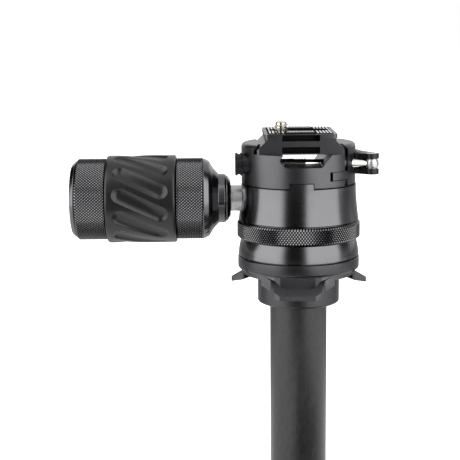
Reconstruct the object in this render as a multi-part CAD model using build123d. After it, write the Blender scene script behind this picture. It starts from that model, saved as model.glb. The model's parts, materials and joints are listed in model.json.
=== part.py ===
"""Half-ball leveling head on a short centre column, with a twist-lock handle and a lever clamp.

Units are millimetres. The origin is on the column's axis, in the plane of the collar's lower
face. +Z points up, the handle lies along -X, the clamp lever is at +X and -Y is the front.
"""
from build123d import *
from math import atan2, cos, degrees, hypot, radians, sin, sqrt
import os

# Clearances and cutting overrun
RUN_FIT = 0.05
SLIDE_GAP = 0.25
HOLE_GAP = 0.10
SEAM_GAP = 0.35
OVERRUN = 2.0
EDGE = 0.4
DIAGONAL = 45
SOCKET_SHARE = 0.7

# Plate foot, which is the standard dovetail that the clamp is built round
FOOT_HALF = 19.05
FOOT_EDGE = 2.05

# Clamp body outside the foot
JAW_WALL = 6.65
BODY_R = FOOT_HALF + JAW_WALL
BODY_HEIGHT = 18.2
BODY_EDGE = 1.8
CHANNEL_DEPTH = 3.9
LEAD_GAP = 1.5
LEAD_START_Y = 11.0
SLOT_DEPTH = 5.2
SLOT_BACK_STEP = 1.5
SLOT_FLOOR_LEFT = -7.0
SLOT_FLOOR_RIGHT = 8.9
SLOT_WIDEST_X = -9.7
SLOT_WIDEST_DROP = 2.5
SLOT_TOP_LEFT = -8.0
SLOT_TOP_RIGHT = 13.3
SCREW_PITCH_R = 15.0
SCREW_COUNT = 4
SCREW_R = 1.5
SCREW_HEAD_R = 2.75
SCREW_HEAD = 2.4
SCREW_LENGTH = 16.0
TICK_COUNT = 2
TICK_WIDTH = 0.35
TICK_PITCH = 1.0
TICK_HEIGHT = 1.6

# Bell housing under the clamp body
BELL_LEDGE = 0.1
BELL_TOP_R = BODY_R + BELL_LEDGE
BELL_WAIST_SWELL = 0.4
BELL_WAIST_R = BELL_TOP_R + BELL_WAIST_SWELL
BELL_FOOT_SWELL = 1.3
BELL_FOOT_R = BELL_TOP_R + BELL_FOOT_SWELL
BELL_WAIST_RISE = 7.4
BELL_HEIGHT = 16.6
BELL_BORE_R = 10.0
BELL_CAVITY_RISE = 2.2
TAB_WIDTH = 10.0
TAB_HEIGHT = 2.1
TAB_DEPTH = 3.0

# Pan lock ring
RING_PROUD = 0.7
RING_R = BELL_FOOT_R + RING_PROUD
RING_RISE = 8.4
RING_HEIGHT = 7.9
RING_GAP = 0.3
RING_CHAMFER = 1.0
SKIRT_WALL = 1.15
SLIT_COUNT = 6
SLIT_WIDTH = 0.8
SLIT_START = 30

# Half ball and what turns on it
RING_OVER_BALL = 0.5
BALL_R = RING_R - RING_OVER_BALL
BALL_WALL = 4.0
BALL_SINK = 0.5
BALL_RISE = 15.0
BALL_SCREW_COUNT = 3
BALL_SCREW_START = 90
BALL_SCREW_R = 1.25
BALL_SCREW_HEAD_R = 2.3
BALL_SCREW_HEAD = 1.6
BALL_SCREW_LENGTH = 8.0
LINER_WALL = 0.25
LINER_LAP = 1.5
LINER_HEIGHT = 2.1
RING_TO_CUP = 2.7
CUP_R = RING_R - RING_TO_CUP
CUP_HEIGHT = 5.5
CLAMP_HEIGHT = 9.0
CLAMP_WEB = 4.6
CLAMP_SKIRT = 3.4

# Base plate and the bolts that hold it
PLATE_PROUD = 0.2
PLATE_R = BALL_R + PLATE_PROUD
PLATE_HEIGHT = 5.6
PLATE_FLOOR = 3.0
PLATE_EDGE = 1.1
BASE_BOLT_R = 4.0
BASE_BOLT_HEAD_R = 6.5
BASE_BOLT_HEAD = 3.6
BASE_BOLT_LENGTH = 20.0
HEX_R = 2.6
HEX_DEPTH = 2.2

# Collar with its three hook lobes
COLLAR_STEP_IN = 8.9
COLLAR_R = PLATE_R - COLLAR_STEP_IN
COLLAR_TOP_Z = 15.9
FLANGE_WIDTH = 6.4
COLLAR_FLANGE_R = COLLAR_R + FLANGE_WIDTH
COLLAR_FLANGE_EDGE = 2.4
COLLAR_FLANGE_ROOT = 4.2
COLLAR_EDGE = 1.0
LOBE_COUNT = 3
LOBE_TURN = -4.0
LOBE_OVERHANG = 4.2
LOBE_REACH = PLATE_R + LOBE_OVERHANG
LOBE_DROOP = 6.9
LOBE_TIP_TOP_Z = COLLAR_TOP_Z - LOBE_DROOP
LOBE_TIP_HEIGHT = 2.1
LOBE_SLOPE_LENGTH = 12.5
LOBE_SHOULDER_R = LOBE_REACH - LOBE_SLOPE_LENGTH
LOBE_LENGTH = 9.0
LOBE_NECK_R = LOBE_REACH - LOBE_LENGTH
LOBE_NECK_DEPTH = 6.7
LOBE_NECK_UNDER_Z = COLLAR_TOP_Z - LOBE_NECK_DEPTH
LOBE_SPREAD = 2.5
LOBE_TIP_HALF = 9.5
LOBE_FLARE = 4.2
LOBE_ROOT_HALF = LOBE_TIP_HALF + LOBE_SPREAD
LOBE_CORNER = 2.0
LOBE_CORNER_CUT = 2.2
LOBE_WALL = 1.7
LOBE_BAR = 4.1
WINDOW_LENGTH = 5.8
WINDOW_INNER_R = LOBE_REACH - LOBE_BAR - WINDOW_LENGTH
WINDOW_TAPER = 2.6
GRUB_COUNT = 2
GRUB_START = 60
GRUB_STEP = 60
GRUB_R = 1.5
GRUB_LENGTH = 4.0
GRUB_Z = 5.0

# Centre column
COLLAR_WALL = 5.6
COLUMN_R = COLLAR_R - COLLAR_WALL
COLUMN_WALL = 1.5
COLUMN_DROP = 92.0
COLLAR_WEB = 6.5
COLUMN_SEAT_Z = COLLAR_TOP_Z - COLLAR_WEB
COLUMN_STEP = 0.5
INSERT_LENGTH = 17.0
PLUG_LENGTH = 12.0
PLUG_FLANGE = 4.0
PLUG_THREAD_R = 4.76
PLUG_THREAD_DEPTH = 10.0

# Handle, its shaft and the bolt that it pulls
HANDLE_RISE = 9.55
SHAFT_R = 5.86
SHAFT_TAIL_COVER = 3.2
SHAFT_TAIL_X = BODY_R - SHAFT_TAIL_COVER
SHAFT_TAIL_R = 3.5
THREAD_R = 5.0
CAM_R = 4.4
CAM_THROW = 0.35
CAM_HALF = 5.0
BUSH_WALL = 1.0
BUSH_SINK = 0.8
BUSH_LENGTH = 6.8
TAIL_BUSH_WALL = 1.0
TAIL_BUSH_LENGTH = 8.0
EYE_HALF = 4.4
EYE_WALL = 2.0
STEM_R = 4.0
STEM_OVERHANG = 1.0
NUT_ACROSS = 11.0
NUT_HEIGHT = 3.6

NOSE_GAP = 4.45
NOSE_X = -BELL_WAIST_R - NOSE_GAP
NOSE_R = 7.9
NOSE_LENGTH = 2.25
NECK_X = NOSE_X - NOSE_LENGTH
NECK_R = 10.9
NECK_LENGTH = 3.2
CONE_X = NECK_X - NECK_LENGTH
CONE_R = 11.1
CONE_LENGTH = 4.2
SHOULDER_X = CONE_X - CONE_LENGTH
SHOULDER_R = 16.85
SHOULDER_LENGTH = 2.6
RIGHT_KNURL_X = SHOULDER_X - SHOULDER_LENGTH
RIGHT_KNURL_LENGTH = 12.1
SLEEVE_RIGHT_X = RIGHT_KNURL_X - RIGHT_KNURL_LENGTH
SLEEVE_LENGTH = 31.0
SLEEVE_LEFT_X = SLEEVE_RIGHT_X - SLEEVE_LENGTH
LEFT_KNURL_LENGTH = 13.9
LEFT_KNURL_X = SLEEVE_LEFT_X - LEFT_KNURL_LENGTH
CAP_LENGTH = 1.9
HANDLE_END_X = LEFT_KNURL_X - CAP_LENGTH
KNURL_R = 18.3
SLEEVE_PROUD = 1.4
SLEEVE_R = KNURL_R + SLEEVE_PROUD
CORE_DEPTH = 1.9
CORE_R = KNURL_R - CORE_DEPTH
CORE_WALL = 3.0
CORE_WEB = 9.0
CAP_CHAMFER = 2.6
CAP_SPIGOT = 4.0
CAP_SCREW_R = 2.5
CAP_SCREW_HEAD_R = 4.5
CAP_SCREW_HEAD = 2.6
CAP_SCREW_LENGTH = 14.0
FLUTE_COUNT = 12
FLUTE_HALF_WIDTH = 3.4
FLUTE_DEPTH = 1.2
FLUTE_SPAN = 17.7
FLUTE_TWIST = 25.0

# Dovetail plate
FOOT_FLARE = 3.45
WAIST_HALF = FOOT_HALF - FOOT_FLARE
QR_HEIGHT = 8.9
QR_HALF_LENGTH = 19.0
QR_LIP = 1.9
QR_LIP_OUT = 0.5
QR_LIP_SIDE = 0.2
QR_CORNER = 1.6
WAIST_CORNER = 2.6
QR_FOOT_CORNER = 0.6
RECESS_HALF = 8.25
RECESS_DEPTH = 5.0
RECESS_FLOOR = 0.6
BAR_RISE = 3.3
BAR_HEIGHT = 2.5
BAR_DEPTH = 2.4
PAD_HEIGHT = 0.9
PAD_RIB = 0.72
PAD_PITCH = 1.4
PAD_SIDE_RIBS = 5
PAD_MARGIN = 1.3
PAD_SINK = 0.5
PAD_FRONT_MARGIN = 0.9
CAMERA_THREAD_R = 3.175
CAMERA_SHANK_R = 2.4
CAMERA_SCREW_REACH = 4.1
CAMERA_HEAD_R = 7.2
CAMERA_HEAD = 3.2
CAMERA_HEAD_RISE = 0.3
CAMERA_THREADS = 4
THREAD_DEPTH = 0.45
CREST_SHARE = 0.3
WASHER_R = 5.4
WASHER_THICK = 0.7
SLOT_WALL = 0.85
CAMERA_SCREW_X = -(WAIST_HALF - PAD_MARGIN - WASHER_R - SLIDE_GAP - SLOT_WALL)
PIN_R = 1.5
PIN_SINK = 2.2
STOP_PIN_INSET = 4.55
STOP_PIN_PLACE = FOOT_HALF - STOP_PIN_INSET

# Jaw, draw rod, lever and tension nut
JAW_SPLIT_X = FOOT_HALF + SLIDE_GAP
JAW_GAP = 1.4
JAW_INSET = 0.2
JAW_R = BODY_R - JAW_INSET
TONGUE_REACH = 5.6
TONGUE_X = JAW_SPLIT_X - TONGUE_REACH
TONGUE_RISE = 3.1
TONGUE_HEIGHT = 3.5
TONGUE_INNER_Y = 12.4
TONGUE_LEFT_GAP = 1.3
JAW_TRAVEL = 1.2
ROD_Y = -8.5
ROD_DROP = 5.0
ROD_R = 2.25
ROD_THIN_R = 1.95
ROD_STEP_X = -2.4
RIB_COUNT = 4
RIB_PITCH = 1.25
RIB_WIDTH = 0.7
LEVER_OFFSET = 6.2
LEVER_X = BODY_R + LEVER_OFFSET
BARREL_R = 2.5
EAR_R = 3.2
EAR_BELOW = 4.9
EAR_ABOVE = 4.3
EAR_THICK = 2.3
LEVER_CLEAR = 0.4
LEVER_INNER_R = BODY_R + LEVER_CLEAR
LEVER_WALL = 2.8
LEVER_SWEEP = 62.0
LEVER_ROOT = 9.0
LEVER_TAIL_SHARE = 0.2
EAR_SIDE_ANGLE = 55.0
EAR_FRONT_ANGLE = 75.0
CAM_HALF_ANGLE = 7.0
CAM_GAP = 0.25
SPRING_R = 3.6
SPRING_WIRE = 0.7
SPRING_LENGTH = 4.6
GUIDE_Y = 4.5
GUIDE_R = 1.5
GUIDE_REACH = 3.0
GUIDE_ROOT = 7.0
NUT_R = 5.1
NUT_PROUD = 2.9
NUT_LEFT_X = -BODY_R - NUT_PROUD
NUT_WIDTH = 3.3
NUT_RIGHT_X = NUT_LEFT_X + NUT_WIDTH
NUT_HUB_R = 4.2
NUT_HUB_DEPTH = 3.6
NUT_HUB_X = -BODY_R + NUT_HUB_DEPTH
ROD_INSET = 1.1
NUT_GROOVE = 0.5
NUT_SCALLOPS = 6
SCALLOP_R = 1.3
SCALLOP_START = 30

# Heights of the stack, each from the piece below it
PLATE_TOP_Z = COLLAR_TOP_Z + PLATE_HEIGHT
BALL_Z = PLATE_TOP_Z - BALL_SINK
BALL_TOP_Z = BALL_Z + BALL_RISE
LINER_BOTTOM_Z = BALL_TOP_Z - LINER_LAP
LINER_TOP_Z = LINER_BOTTOM_Z + LINER_HEIGHT
CUP_TOP_Z = LINER_BOTTOM_Z + CUP_HEIGHT
CLAMP_BOTTOM_Z = BALL_TOP_Z - CLAMP_HEIGHT
STEM_BOTTOM_Z = CLAMP_BOTTOM_Z - STEM_OVERHANG
RING_BOTTOM_Z = PLATE_TOP_Z + RING_RISE
RING_TOP_Z = RING_BOTTOM_Z + RING_HEIGHT
BELL_FOOT_Z = RING_TOP_Z + RING_GAP
BELL_WAIST_Z = BELL_FOOT_Z + BELL_WAIST_RISE
BELL_TOP_Z = BELL_FOOT_Z + BELL_HEIGHT
BELL_CAVITY_TOP_Z = CUP_TOP_Z + BELL_CAVITY_RISE
HANDLE_Z = BELL_FOOT_Z + HANDLE_RISE
BODY_TOP_Z = BELL_TOP_Z + BODY_HEIGHT
CHANNEL_Z = BODY_TOP_Z - CHANNEL_DEPTH
SLOT_FLOOR_Z = CHANNEL_Z - SLOT_DEPTH
SLOT_BACK_Z = SLOT_FLOOR_Z - SLOT_BACK_STEP
SLOT_WIDEST_Z = CHANNEL_Z - SLOT_WIDEST_DROP
QR_TOP_Z = CHANNEL_Z + QR_HEIGHT
BAR_BOTTOM_Z = CHANNEL_Z + BAR_RISE
CAMERA_HEAD_Z = CHANNEL_Z + CAMERA_HEAD_RISE
CAMERA_SCREW_TOP_Z = QR_TOP_Z + CAMERA_SCREW_REACH
ROD_Z = CHANNEL_Z - ROD_DROP
EAR_BOTTOM_Z = ROD_Z - EAR_BELOW
EAR_TOP_Z = ROD_Z + EAR_ABOVE
TONGUE_Z = BELL_TOP_Z + TONGUE_RISE

# Sizes that follow from the ones above
BALL_INNER_R = BALL_R - BALL_WALL
LINER_INNER_R = BALL_R + RUN_FIT
LINER_OUTER_R = LINER_INNER_R + LINER_WALL
CUP_INNER_R = LINER_OUTER_R + RUN_FIT
CLAMP_R = BALL_INNER_R - RUN_FIT
SKIRT_INNER_R = CUP_R + RUN_FIT
SKIRT_R = SKIRT_INNER_R + SKIRT_WALL
RING_INNER_R = SKIRT_R + RUN_FIT
PLATE_FLOOR_Z = COLLAR_TOP_Z + PLATE_FLOOR
EYE_R = CAM_R + CAM_THROW + EYE_WALL
SHAFT_OUTER_X = LEFT_KNURL_X + CAP_SPIGOT + EDGE
BELL_CAVITY_R = sqrt(CUP_INNER_R**2 - (CUP_TOP_Z - BALL_Z) ** 2)
FOOT_TOP_Z = CHANNEL_Z + FOOT_EDGE
FLARE_TOP_Z = FOOT_TOP_Z + FOOT_HALF - WAIST_HALF
JAW_X = JAW_SPLIT_X + JAW_GAP
ROD_LEFT_X = NUT_LEFT_X + ROD_INSET


def cylinder(radius, low, high):
    """Round bar on the column's axis between two heights."""
    return extrude(Plane.XY.offset(low) * Circle(radius), high - low)


def tube(outer, inner, low, high):
    """Round tube on the column's axis."""
    return cylinder(outer, low, high) - cylinder(inner, low - OVERRUN, high + OVERRUN)


def bar_x(radius, left, right, y, z):
    """Round bar along X."""
    face = Plane(origin=(left, y, z), x_dir=(0, 1, 0), z_dir=(1, 0, 0)) * Circle(radius)
    return extrude(face, right - left)


def post(radius, low, high, x, y):
    """Round bar along Z away from the axis."""
    return Pos(x, y, 0) * cylinder(radius, low, high)


def block(x0, x1, y0, y1, z0, z1):
    """Rectangular block between two corners."""
    return Pos((x0 + x1) / 2, (y0 + y1) / 2, (z0 + z1) / 2) * Box(x1 - x0, y1 - y0, z1 - z0)


def turned(points):
    """Solid of revolution about Z from an outline of (radius, height) points."""
    face = Plane.XZ * make_face(Polyline(*points, close=True).edges())
    return revolve(face, Axis.Z)


def turned_x(points, z):
    """Solid of revolution about the line along X at height z, from (x, radius) points."""
    outline = [(x, z + r) for x, r in points]
    face = Plane.XZ * make_face(Polyline(*outline, close=True).edges())
    return revolve(face, Axis((0, 0, z), (1, 0, 0)))


def prism_z(points, low, high):
    """Upright prism over an outline of (x, y) points."""
    face = Plane.XY.offset(low) * make_face(Polyline(*points, close=True).edges())
    return extrude(face, high - low)


def prism_y(points, half):
    """Prism along Y, as long each way as half, over an outline of (x, z) points."""
    face = Plane.XZ * make_face(Polyline(*points, close=True).edges())
    return extrude(face, half, both=True)


def ring_of(shape, count, start=0):
    """Copies of a shape spaced evenly about the column's axis."""
    step = 360 / count
    return [Rot(0, 0, start + index * step) * shape for index in range(count)]


def ball_zone(radius, low, high):
    """Slice of a ball about the tilt centre between two heights."""
    return Pos(0, 0, BALL_Z) * Sphere(radius) & cylinder(radius + OVERRUN, low, high)


def centre_column():
    """Carbon tube that the head stands on."""
    seat = tube(COLUMN_R - COLUMN_STEP, COLUMN_R - COLUMN_WALL, 0, COLUMN_SEAT_Z)
    return tube(COLUMN_R, COLUMN_R - COLUMN_WALL, -COLUMN_DROP, 0) + seat


def column_insert():
    """Threaded plug bonded into the top of the tube."""
    body = cylinder(COLUMN_R - COLUMN_WALL, COLUMN_SEAT_Z - INSERT_LENGTH, COLUMN_SEAT_Z)
    return body - cylinder(BASE_BOLT_R, -INSERT_LENGTH, COLUMN_SEAT_Z + OVERRUN)


def column_plug():
    """Threaded plug in the lower end of the tube."""
    spigot = cylinder(COLUMN_R - COLUMN_WALL, -COLUMN_DROP, -COLUMN_DROP + PLUG_LENGTH)
    flange = cylinder(COLUMN_R - EDGE, -COLUMN_DROP - PLUG_FLANGE, -COLUMN_DROP)
    flange = chamfer(flange.edges().group_by(Axis.Z)[0], EDGE)
    low = -COLUMN_DROP - PLUG_FLANGE
    return spigot + flange - cylinder(PLUG_THREAD_R, low - OVERRUN, low + PLUG_THREAD_DEPTH)


def lobe_outline(inset, root_half, root, reach):
    """Plan of a lobe, or of its window when inset, with cut corners at the tip."""
    slope = (LOBE_ROOT_HALF - LOBE_TIP_HALF) / LOBE_LENGTH
    tip = LOBE_TIP_HALF - inset
    base = LOBE_ROOT_HALF - inset
    corner_x = tip + LOBE_CORNER * slope
    half = [(root_half, -root), (base, -LOBE_NECK_R), (corner_x, -reach + LOBE_CORNER)]
    half.append((corner_x - LOBE_CORNER_CUT, -reach))
    return half + [(-x, y) for x, y in reversed(half)]


def hook_lobe():
    """Drooping lobe at the front of the collar, which flares into its flange."""
    tip_low = LOBE_TIP_TOP_Z - LOBE_TIP_HEIGHT
    side = [
        (-COLLAR_R + COLLAR_EDGE, COLLAR_TOP_Z),
        (-LOBE_SHOULDER_R, COLLAR_TOP_Z),
        (-LOBE_REACH, LOBE_TIP_TOP_Z),
        (-LOBE_REACH, tip_low),
        (-LOBE_NECK_R, LOBE_NECK_UNDER_Z),
        (-COLLAR_R + COLLAR_EDGE, COLLAR_TOP_Z - COLLAR_FLANGE_ROOT),
    ]
    face = Plane.YZ * make_face(Polyline(*side, close=True).edges())
    flare_half = LOBE_ROOT_HALF + LOBE_FLARE
    slab = extrude(face, flare_half + OVERRUN, both=True)
    root = sqrt(COLLAR_FLANGE_R**2 - flare_half**2)
    plan = prism_z(lobe_outline(0, flare_half, root, LOBE_REACH), 0, COLLAR_TOP_Z)
    return slab & plan


def lobe_window():
    """Opening through a lobe for a strap or a hook."""
    inner_half = LOBE_ROOT_HALF - LOBE_WALL - WINDOW_TAPER
    outline = lobe_outline(LOBE_WALL, inner_half, WINDOW_INNER_R, LOBE_REACH - LOBE_BAR)
    return prism_z(outline, 0, COLLAR_TOP_Z + OVERRUN)


def hook_collar():
    """Collar round the top of the tube, with its flange and three lobes."""
    body = cylinder(COLLAR_R, 0, COLLAR_TOP_Z)
    body = fillet(body.edges().group_by(Axis.Z)[0], COLLAR_EDGE)
    flange = turned([
        (0, COLLAR_TOP_Z),
        (COLLAR_FLANGE_R, COLLAR_TOP_Z),
        (COLLAR_FLANGE_R, COLLAR_TOP_Z - COLLAR_FLANGE_EDGE),
        (COLLAR_R, COLLAR_TOP_Z - COLLAR_FLANGE_ROOT),
        (0, COLLAR_TOP_Z - COLLAR_FLANGE_ROOT),
    ])
    solid = body + flange
    for lobe in ring_of(hook_lobe(), LOBE_COUNT, LOBE_TURN):
        solid += lobe
    for window in ring_of(lobe_window(), LOBE_COUNT, LOBE_TURN):
        solid -= window
    solid -= cylinder(COLUMN_R - COLUMN_STEP, -OVERRUN, COLUMN_SEAT_Z)
    solid -= cylinder(BASE_BOLT_R, 0, COLLAR_TOP_Z + OVERRUN)
    for hole in grubs_of(bar_x(GRUB_R, 0, COLLAR_R + OVERRUN, 0, GRUB_Z)):
        solid -= hole
    return solid


def grubs_of(shape):
    """Copies of a shape at the places of the set screws, at the back of the collar."""
    return [Rot(0, 0, GRUB_START + index * GRUB_STEP) * shape for index in range(GRUB_COUNT)]


def collar_grub_screws():
    """Set screws that hold the collar on the tube."""
    left = COLUMN_R - COLUMN_STEP
    right = left + GRUB_LENGTH
    socket = bar_x(GRUB_R / 2, right - GRUB_R, right + OVERRUN, 0, GRUB_Z)
    screw = bar_x(GRUB_R, left, right, 0, GRUB_Z) - socket
    return Compound(grubs_of(screw))


def base_plate():
    """Round plate that carries the half ball."""
    body = cylinder(PLATE_R, COLLAR_TOP_Z, PLATE_TOP_Z)
    body = fillet(body.edges().group_by(Axis.Z)[0], PLATE_EDGE)
    rebate = tube(PLATE_R + OVERRUN, PLATE_R - SEAM_GAP, PLATE_TOP_Z - SEAM_GAP, PLATE_TOP_Z + OVERRUN)
    body -= rebate
    body -= cylinder(BALL_INNER_R + EDGE, PLATE_FLOOR_Z, PLATE_TOP_Z + OVERRUN)
    body -= cylinder(BASE_BOLT_R, 0, PLATE_TOP_Z)
    head = BALL_SCREW_HEAD + HOLE_GAP
    for x, y in ball_screw_places():
        body -= post(BALL_SCREW_R, 0, PLATE_TOP_Z + OVERRUN, x, y)
        body -= post(BALL_SCREW_HEAD_R, 0, COLLAR_TOP_Z + head, x, y)
    return body


def ball_screw_places():
    """Places of the screws between the base plate and the half ball, clear of the lobes."""
    return places_round((BALL_R + BALL_INNER_R) / 2, BALL_SCREW_COUNT, BALL_SCREW_START)


def ball_screws():
    """Screws that hold the half ball down on the base plate."""
    low = COLLAR_TOP_Z + HOLE_GAP
    screws = []
    for x, y in ball_screw_places():
        shank = post(BALL_SCREW_R, low, low + BALL_SCREW_LENGTH, x, y)
        head = post(BALL_SCREW_HEAD_R, low, low + BALL_SCREW_HEAD, x, y)
        socket = post(BALL_SCREW_R / 2, low - OVERRUN, low + BALL_SCREW_HEAD / 2, x, y)
        screws.append(shank + head - socket)
    return Compound(screws)


def base_bolt():
    """Bolt from the base plate down into the insert in the column."""
    bolt = cylinder(BASE_BOLT_R, PLATE_FLOOR_Z - BASE_BOLT_LENGTH, PLATE_FLOOR_Z)
    bolt += cylinder(BASE_BOLT_HEAD_R, PLATE_FLOOR_Z, PLATE_FLOOR_Z + BASE_BOLT_HEAD)
    top = PLATE_FLOOR_Z + BASE_BOLT_HEAD
    socket = extrude(Plane.XY.offset(top - HEX_DEPTH) * RegularPolygon(HEX_R, 6), HEX_DEPTH + OVERRUN)
    return bolt - socket


def half_ball():
    """Hollow zone of a ball that the head tilts on."""
    ball = ball_zone(BALL_R, PLATE_TOP_Z, BALL_TOP_Z)
    ball -= Pos(0, 0, BALL_Z) * Sphere(BALL_INNER_R)
    low = COLLAR_TOP_Z + HOLE_GAP
    for x, y in ball_screw_places():
        ball -= post(BALL_SCREW_R, low, low + BALL_SCREW_LENGTH, x, y)
    return ball


def friction_liner():
    """Thin slippery zone between the half ball and the clamp cup."""
    zone = ball_zone(LINER_OUTER_R, LINER_BOTTOM_Z, LINER_TOP_Z)
    return zone - Pos(0, 0, BALL_Z) * Sphere(LINER_INNER_R)


def clamp_cup():
    """Ring with a ball seat that presses on the half ball from above."""
    ring = cylinder(CUP_R, LINER_BOTTOM_Z, CUP_TOP_Z)
    return ring - Pos(0, 0, BALL_Z) * Sphere(CUP_INNER_R)


def ball_clamp():
    """Mushroom inside the half ball, drawn up against its inner face."""
    top = BALL_TOP_Z
    zone = ball_zone(CLAMP_R, CLAMP_BOTTOM_Z, top)
    zone -= ball_zone(CLAMP_R - CLAMP_SKIRT, CLAMP_BOTTOM_Z - OVERRUN, top - CLAMP_WEB)
    return zone - cylinder(STEM_R, CLAMP_BOTTOM_Z, top + OVERRUN)


def draw_bolt():
    """Eye bolt that the shaft's eccentric pulls upwards."""
    eye = bar_x(EYE_R, -EYE_HALF, EYE_HALF, 0, HANDLE_Z)
    stem = cylinder(STEM_R, STEM_BOTTOM_Z, HANDLE_Z - CAM_R)
    bore_r = CAM_R + HOLE_GAP
    slot = bar_x(bore_r, -EYE_HALF - OVERRUN, EYE_HALF + OVERRUN, -CAM_THROW, HANDLE_Z + CAM_THROW)
    slot += bar_x(bore_r, -EYE_HALF - OVERRUN, EYE_HALF + OVERRUN, CAM_THROW, HANDLE_Z + CAM_THROW)
    reach = EYE_HALF + OVERRUN
    centre = HANDLE_Z + CAM_THROW
    slot += block(-reach, reach, -CAM_THROW, CAM_THROW, centre - bore_r, centre + bore_r)
    return eye + stem - slot


def clamp_nut():
    """Hexagon nut under the mushroom."""
    top = BALL_TOP_Z - CLAMP_WEB
    nut = extrude(Plane.XY.offset(top - NUT_HEIGHT) * RegularPolygon(NUT_ACROSS / 2, 6), NUT_HEIGHT)
    return nut - cylinder(STEM_R, STEM_BOTTOM_Z, top + OVERRUN)


def lock_ring():
    """Ring round the bell's skirt that locks the pan."""
    ring = tube(RING_R, RING_INNER_R, RING_BOTTOM_Z, RING_TOP_Z)
    edges = ring.edges().filter_by(GeomType.CIRCLE).filter_by(lambda e: e.radius > RING_INNER_R + EDGE)
    return chamfer(edges, RING_CHAMFER)


def bell_housing():
    """Flared housing that holds the shaft, the eye bolt and the clamp cup."""
    with BuildSketch(Plane.XZ) as section:
        with BuildLine():
            foot = (BELL_FOOT_R, BELL_FOOT_Z)
            top = (BELL_TOP_R, BELL_TOP_Z)
            ThreePointArc(foot, (BELL_WAIST_R, BELL_WAIST_Z), top)
            Polyline(
                top, (0, BELL_TOP_Z), (0, BELL_CAVITY_TOP_Z),
                (BELL_CAVITY_R, BELL_CAVITY_TOP_Z), (BELL_CAVITY_R, CUP_TOP_Z),
                (SKIRT_INNER_R, CUP_TOP_Z), (SKIRT_INNER_R, LINER_BOTTOM_Z),
                (SKIRT_R, LINER_BOTTOM_Z), (SKIRT_R, BELL_FOOT_Z), foot,
            )
        make_face()
    body = revolve(section.sketch, Axis.Z)
    tab_front = BODY_R - TAB_DEPTH
    tab = block(-TAB_WIDTH / 2, TAB_WIDTH / 2, -BELL_TOP_R, -tab_front, BELL_TOP_Z, BELL_TOP_Z + TAB_HEIGHT)
    body += tab & cylinder(BODY_R, BELL_TOP_Z, BELL_TOP_Z + TAB_HEIGHT)
    body -= cylinder(BELL_BORE_R, BELL_CAVITY_TOP_Z - OVERRUN, BELL_TOP_Z + OVERRUN)
    body -= bar_x(SHAFT_R + BUSH_WALL, -BELL_FOOT_R - OVERRUN, 0, 0, HANDLE_Z)
    body -= bar_x(SHAFT_TAIL_R + TAIL_BUSH_WALL, 0, SHAFT_TAIL_X + HOLE_GAP, 0, HANDLE_Z)
    for x, y in body_screw_places():
        body -= post(SCREW_R, BELL_CAVITY_TOP_Z, BELL_TOP_Z + OVERRUN, x, y)
        body -= post(SCREW_HEAD_R + HOLE_GAP, BELL_CAVITY_TOP_Z - OVERRUN, screw_seat_z(), x, y)
    slit = block(SKIRT_INNER_R - EDGE, SKIRT_R + EDGE, -SLIT_WIDTH / 2, SLIT_WIDTH / 2, 0, RING_TOP_Z)
    for cut in ring_of(slit, SLIT_COUNT, SLIT_START):
        body -= cut
    return body


def places_round(pitch_r, count, start):
    """Places spaced evenly on a circle about the axis, from a start angle."""
    angles = [radians(start + index * 360 / count) for index in range(count)]
    return [(pitch_r * cos(angle), pitch_r * sin(angle)) for angle in angles]


def body_screw_places():
    """Places of the screws between the bell and the clamp body."""
    return places_round(SCREW_PITCH_R, SCREW_COUNT, DIAGONAL)


def screw_seat_z():
    """Height of the seat of each screw head, inside the bell."""
    return BELL_CAVITY_TOP_Z + SCREW_HEAD + EDGE


def body_screws():
    """Screws from inside the bell up into the clamp body."""
    seat = screw_seat_z()
    screws = []
    for x, y in body_screw_places():
        shank = post(SCREW_R, seat, seat + SCREW_LENGTH, x, y)
        head = post(SCREW_HEAD_R, seat - SCREW_HEAD, seat, x, y)
        socket = post(SCREW_R * SOCKET_SHARE, seat - SCREW_HEAD - OVERRUN, seat - SCREW_HEAD / 2, x, y)
        screws.append(shank + head - socket)
    return Compound(screws)


def shaft_bushing():
    """Bush that the handle's shaft turns in."""
    left = -BELL_WAIST_R + BUSH_SINK
    right = left + BUSH_LENGTH
    outer = bar_x(SHAFT_R + BUSH_WALL, left, right, 0, HANDLE_Z)
    return outer - bar_x(SHAFT_R + RUN_FIT, left - OVERRUN, right + OVERRUN, 0, HANDLE_Z)


def tail_bushing():
    """Bush for the far end of the shaft."""
    right = SHAFT_TAIL_X
    left = right - TAIL_BUSH_LENGTH
    outer = bar_x(SHAFT_TAIL_R + TAIL_BUSH_WALL, left, right, 0, HANDLE_Z)
    return outer - bar_x(SHAFT_TAIL_R + RUN_FIT, left - OVERRUN, right + OVERRUN, 0, HANDLE_Z)


def handle_shaft():
    """Steel shaft with its eccentric and tail, threaded into the handle's core."""
    shaft = bar_x(SHAFT_R, NOSE_X, -CAM_HALF - EDGE, 0, HANDLE_Z)
    shaft += bar_x(THREAD_R, SHAFT_OUTER_X, NOSE_X, 0, HANDLE_Z)
    shaft += bar_x(CAM_R, -CAM_HALF - EDGE, CAM_HALF, 0, HANDLE_Z + CAM_THROW)
    shaft += bar_x(SHAFT_TAIL_R, CAM_HALF, SHAFT_TAIL_X - HOLE_GAP, 0, HANDLE_Z)
    right = SHAFT_OUTER_X + CAP_SCREW_LENGTH
    return shaft - bar_x(CAP_SCREW_R, SHAFT_OUTER_X - OVERRUN, right, 0, HANDLE_Z)


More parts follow.
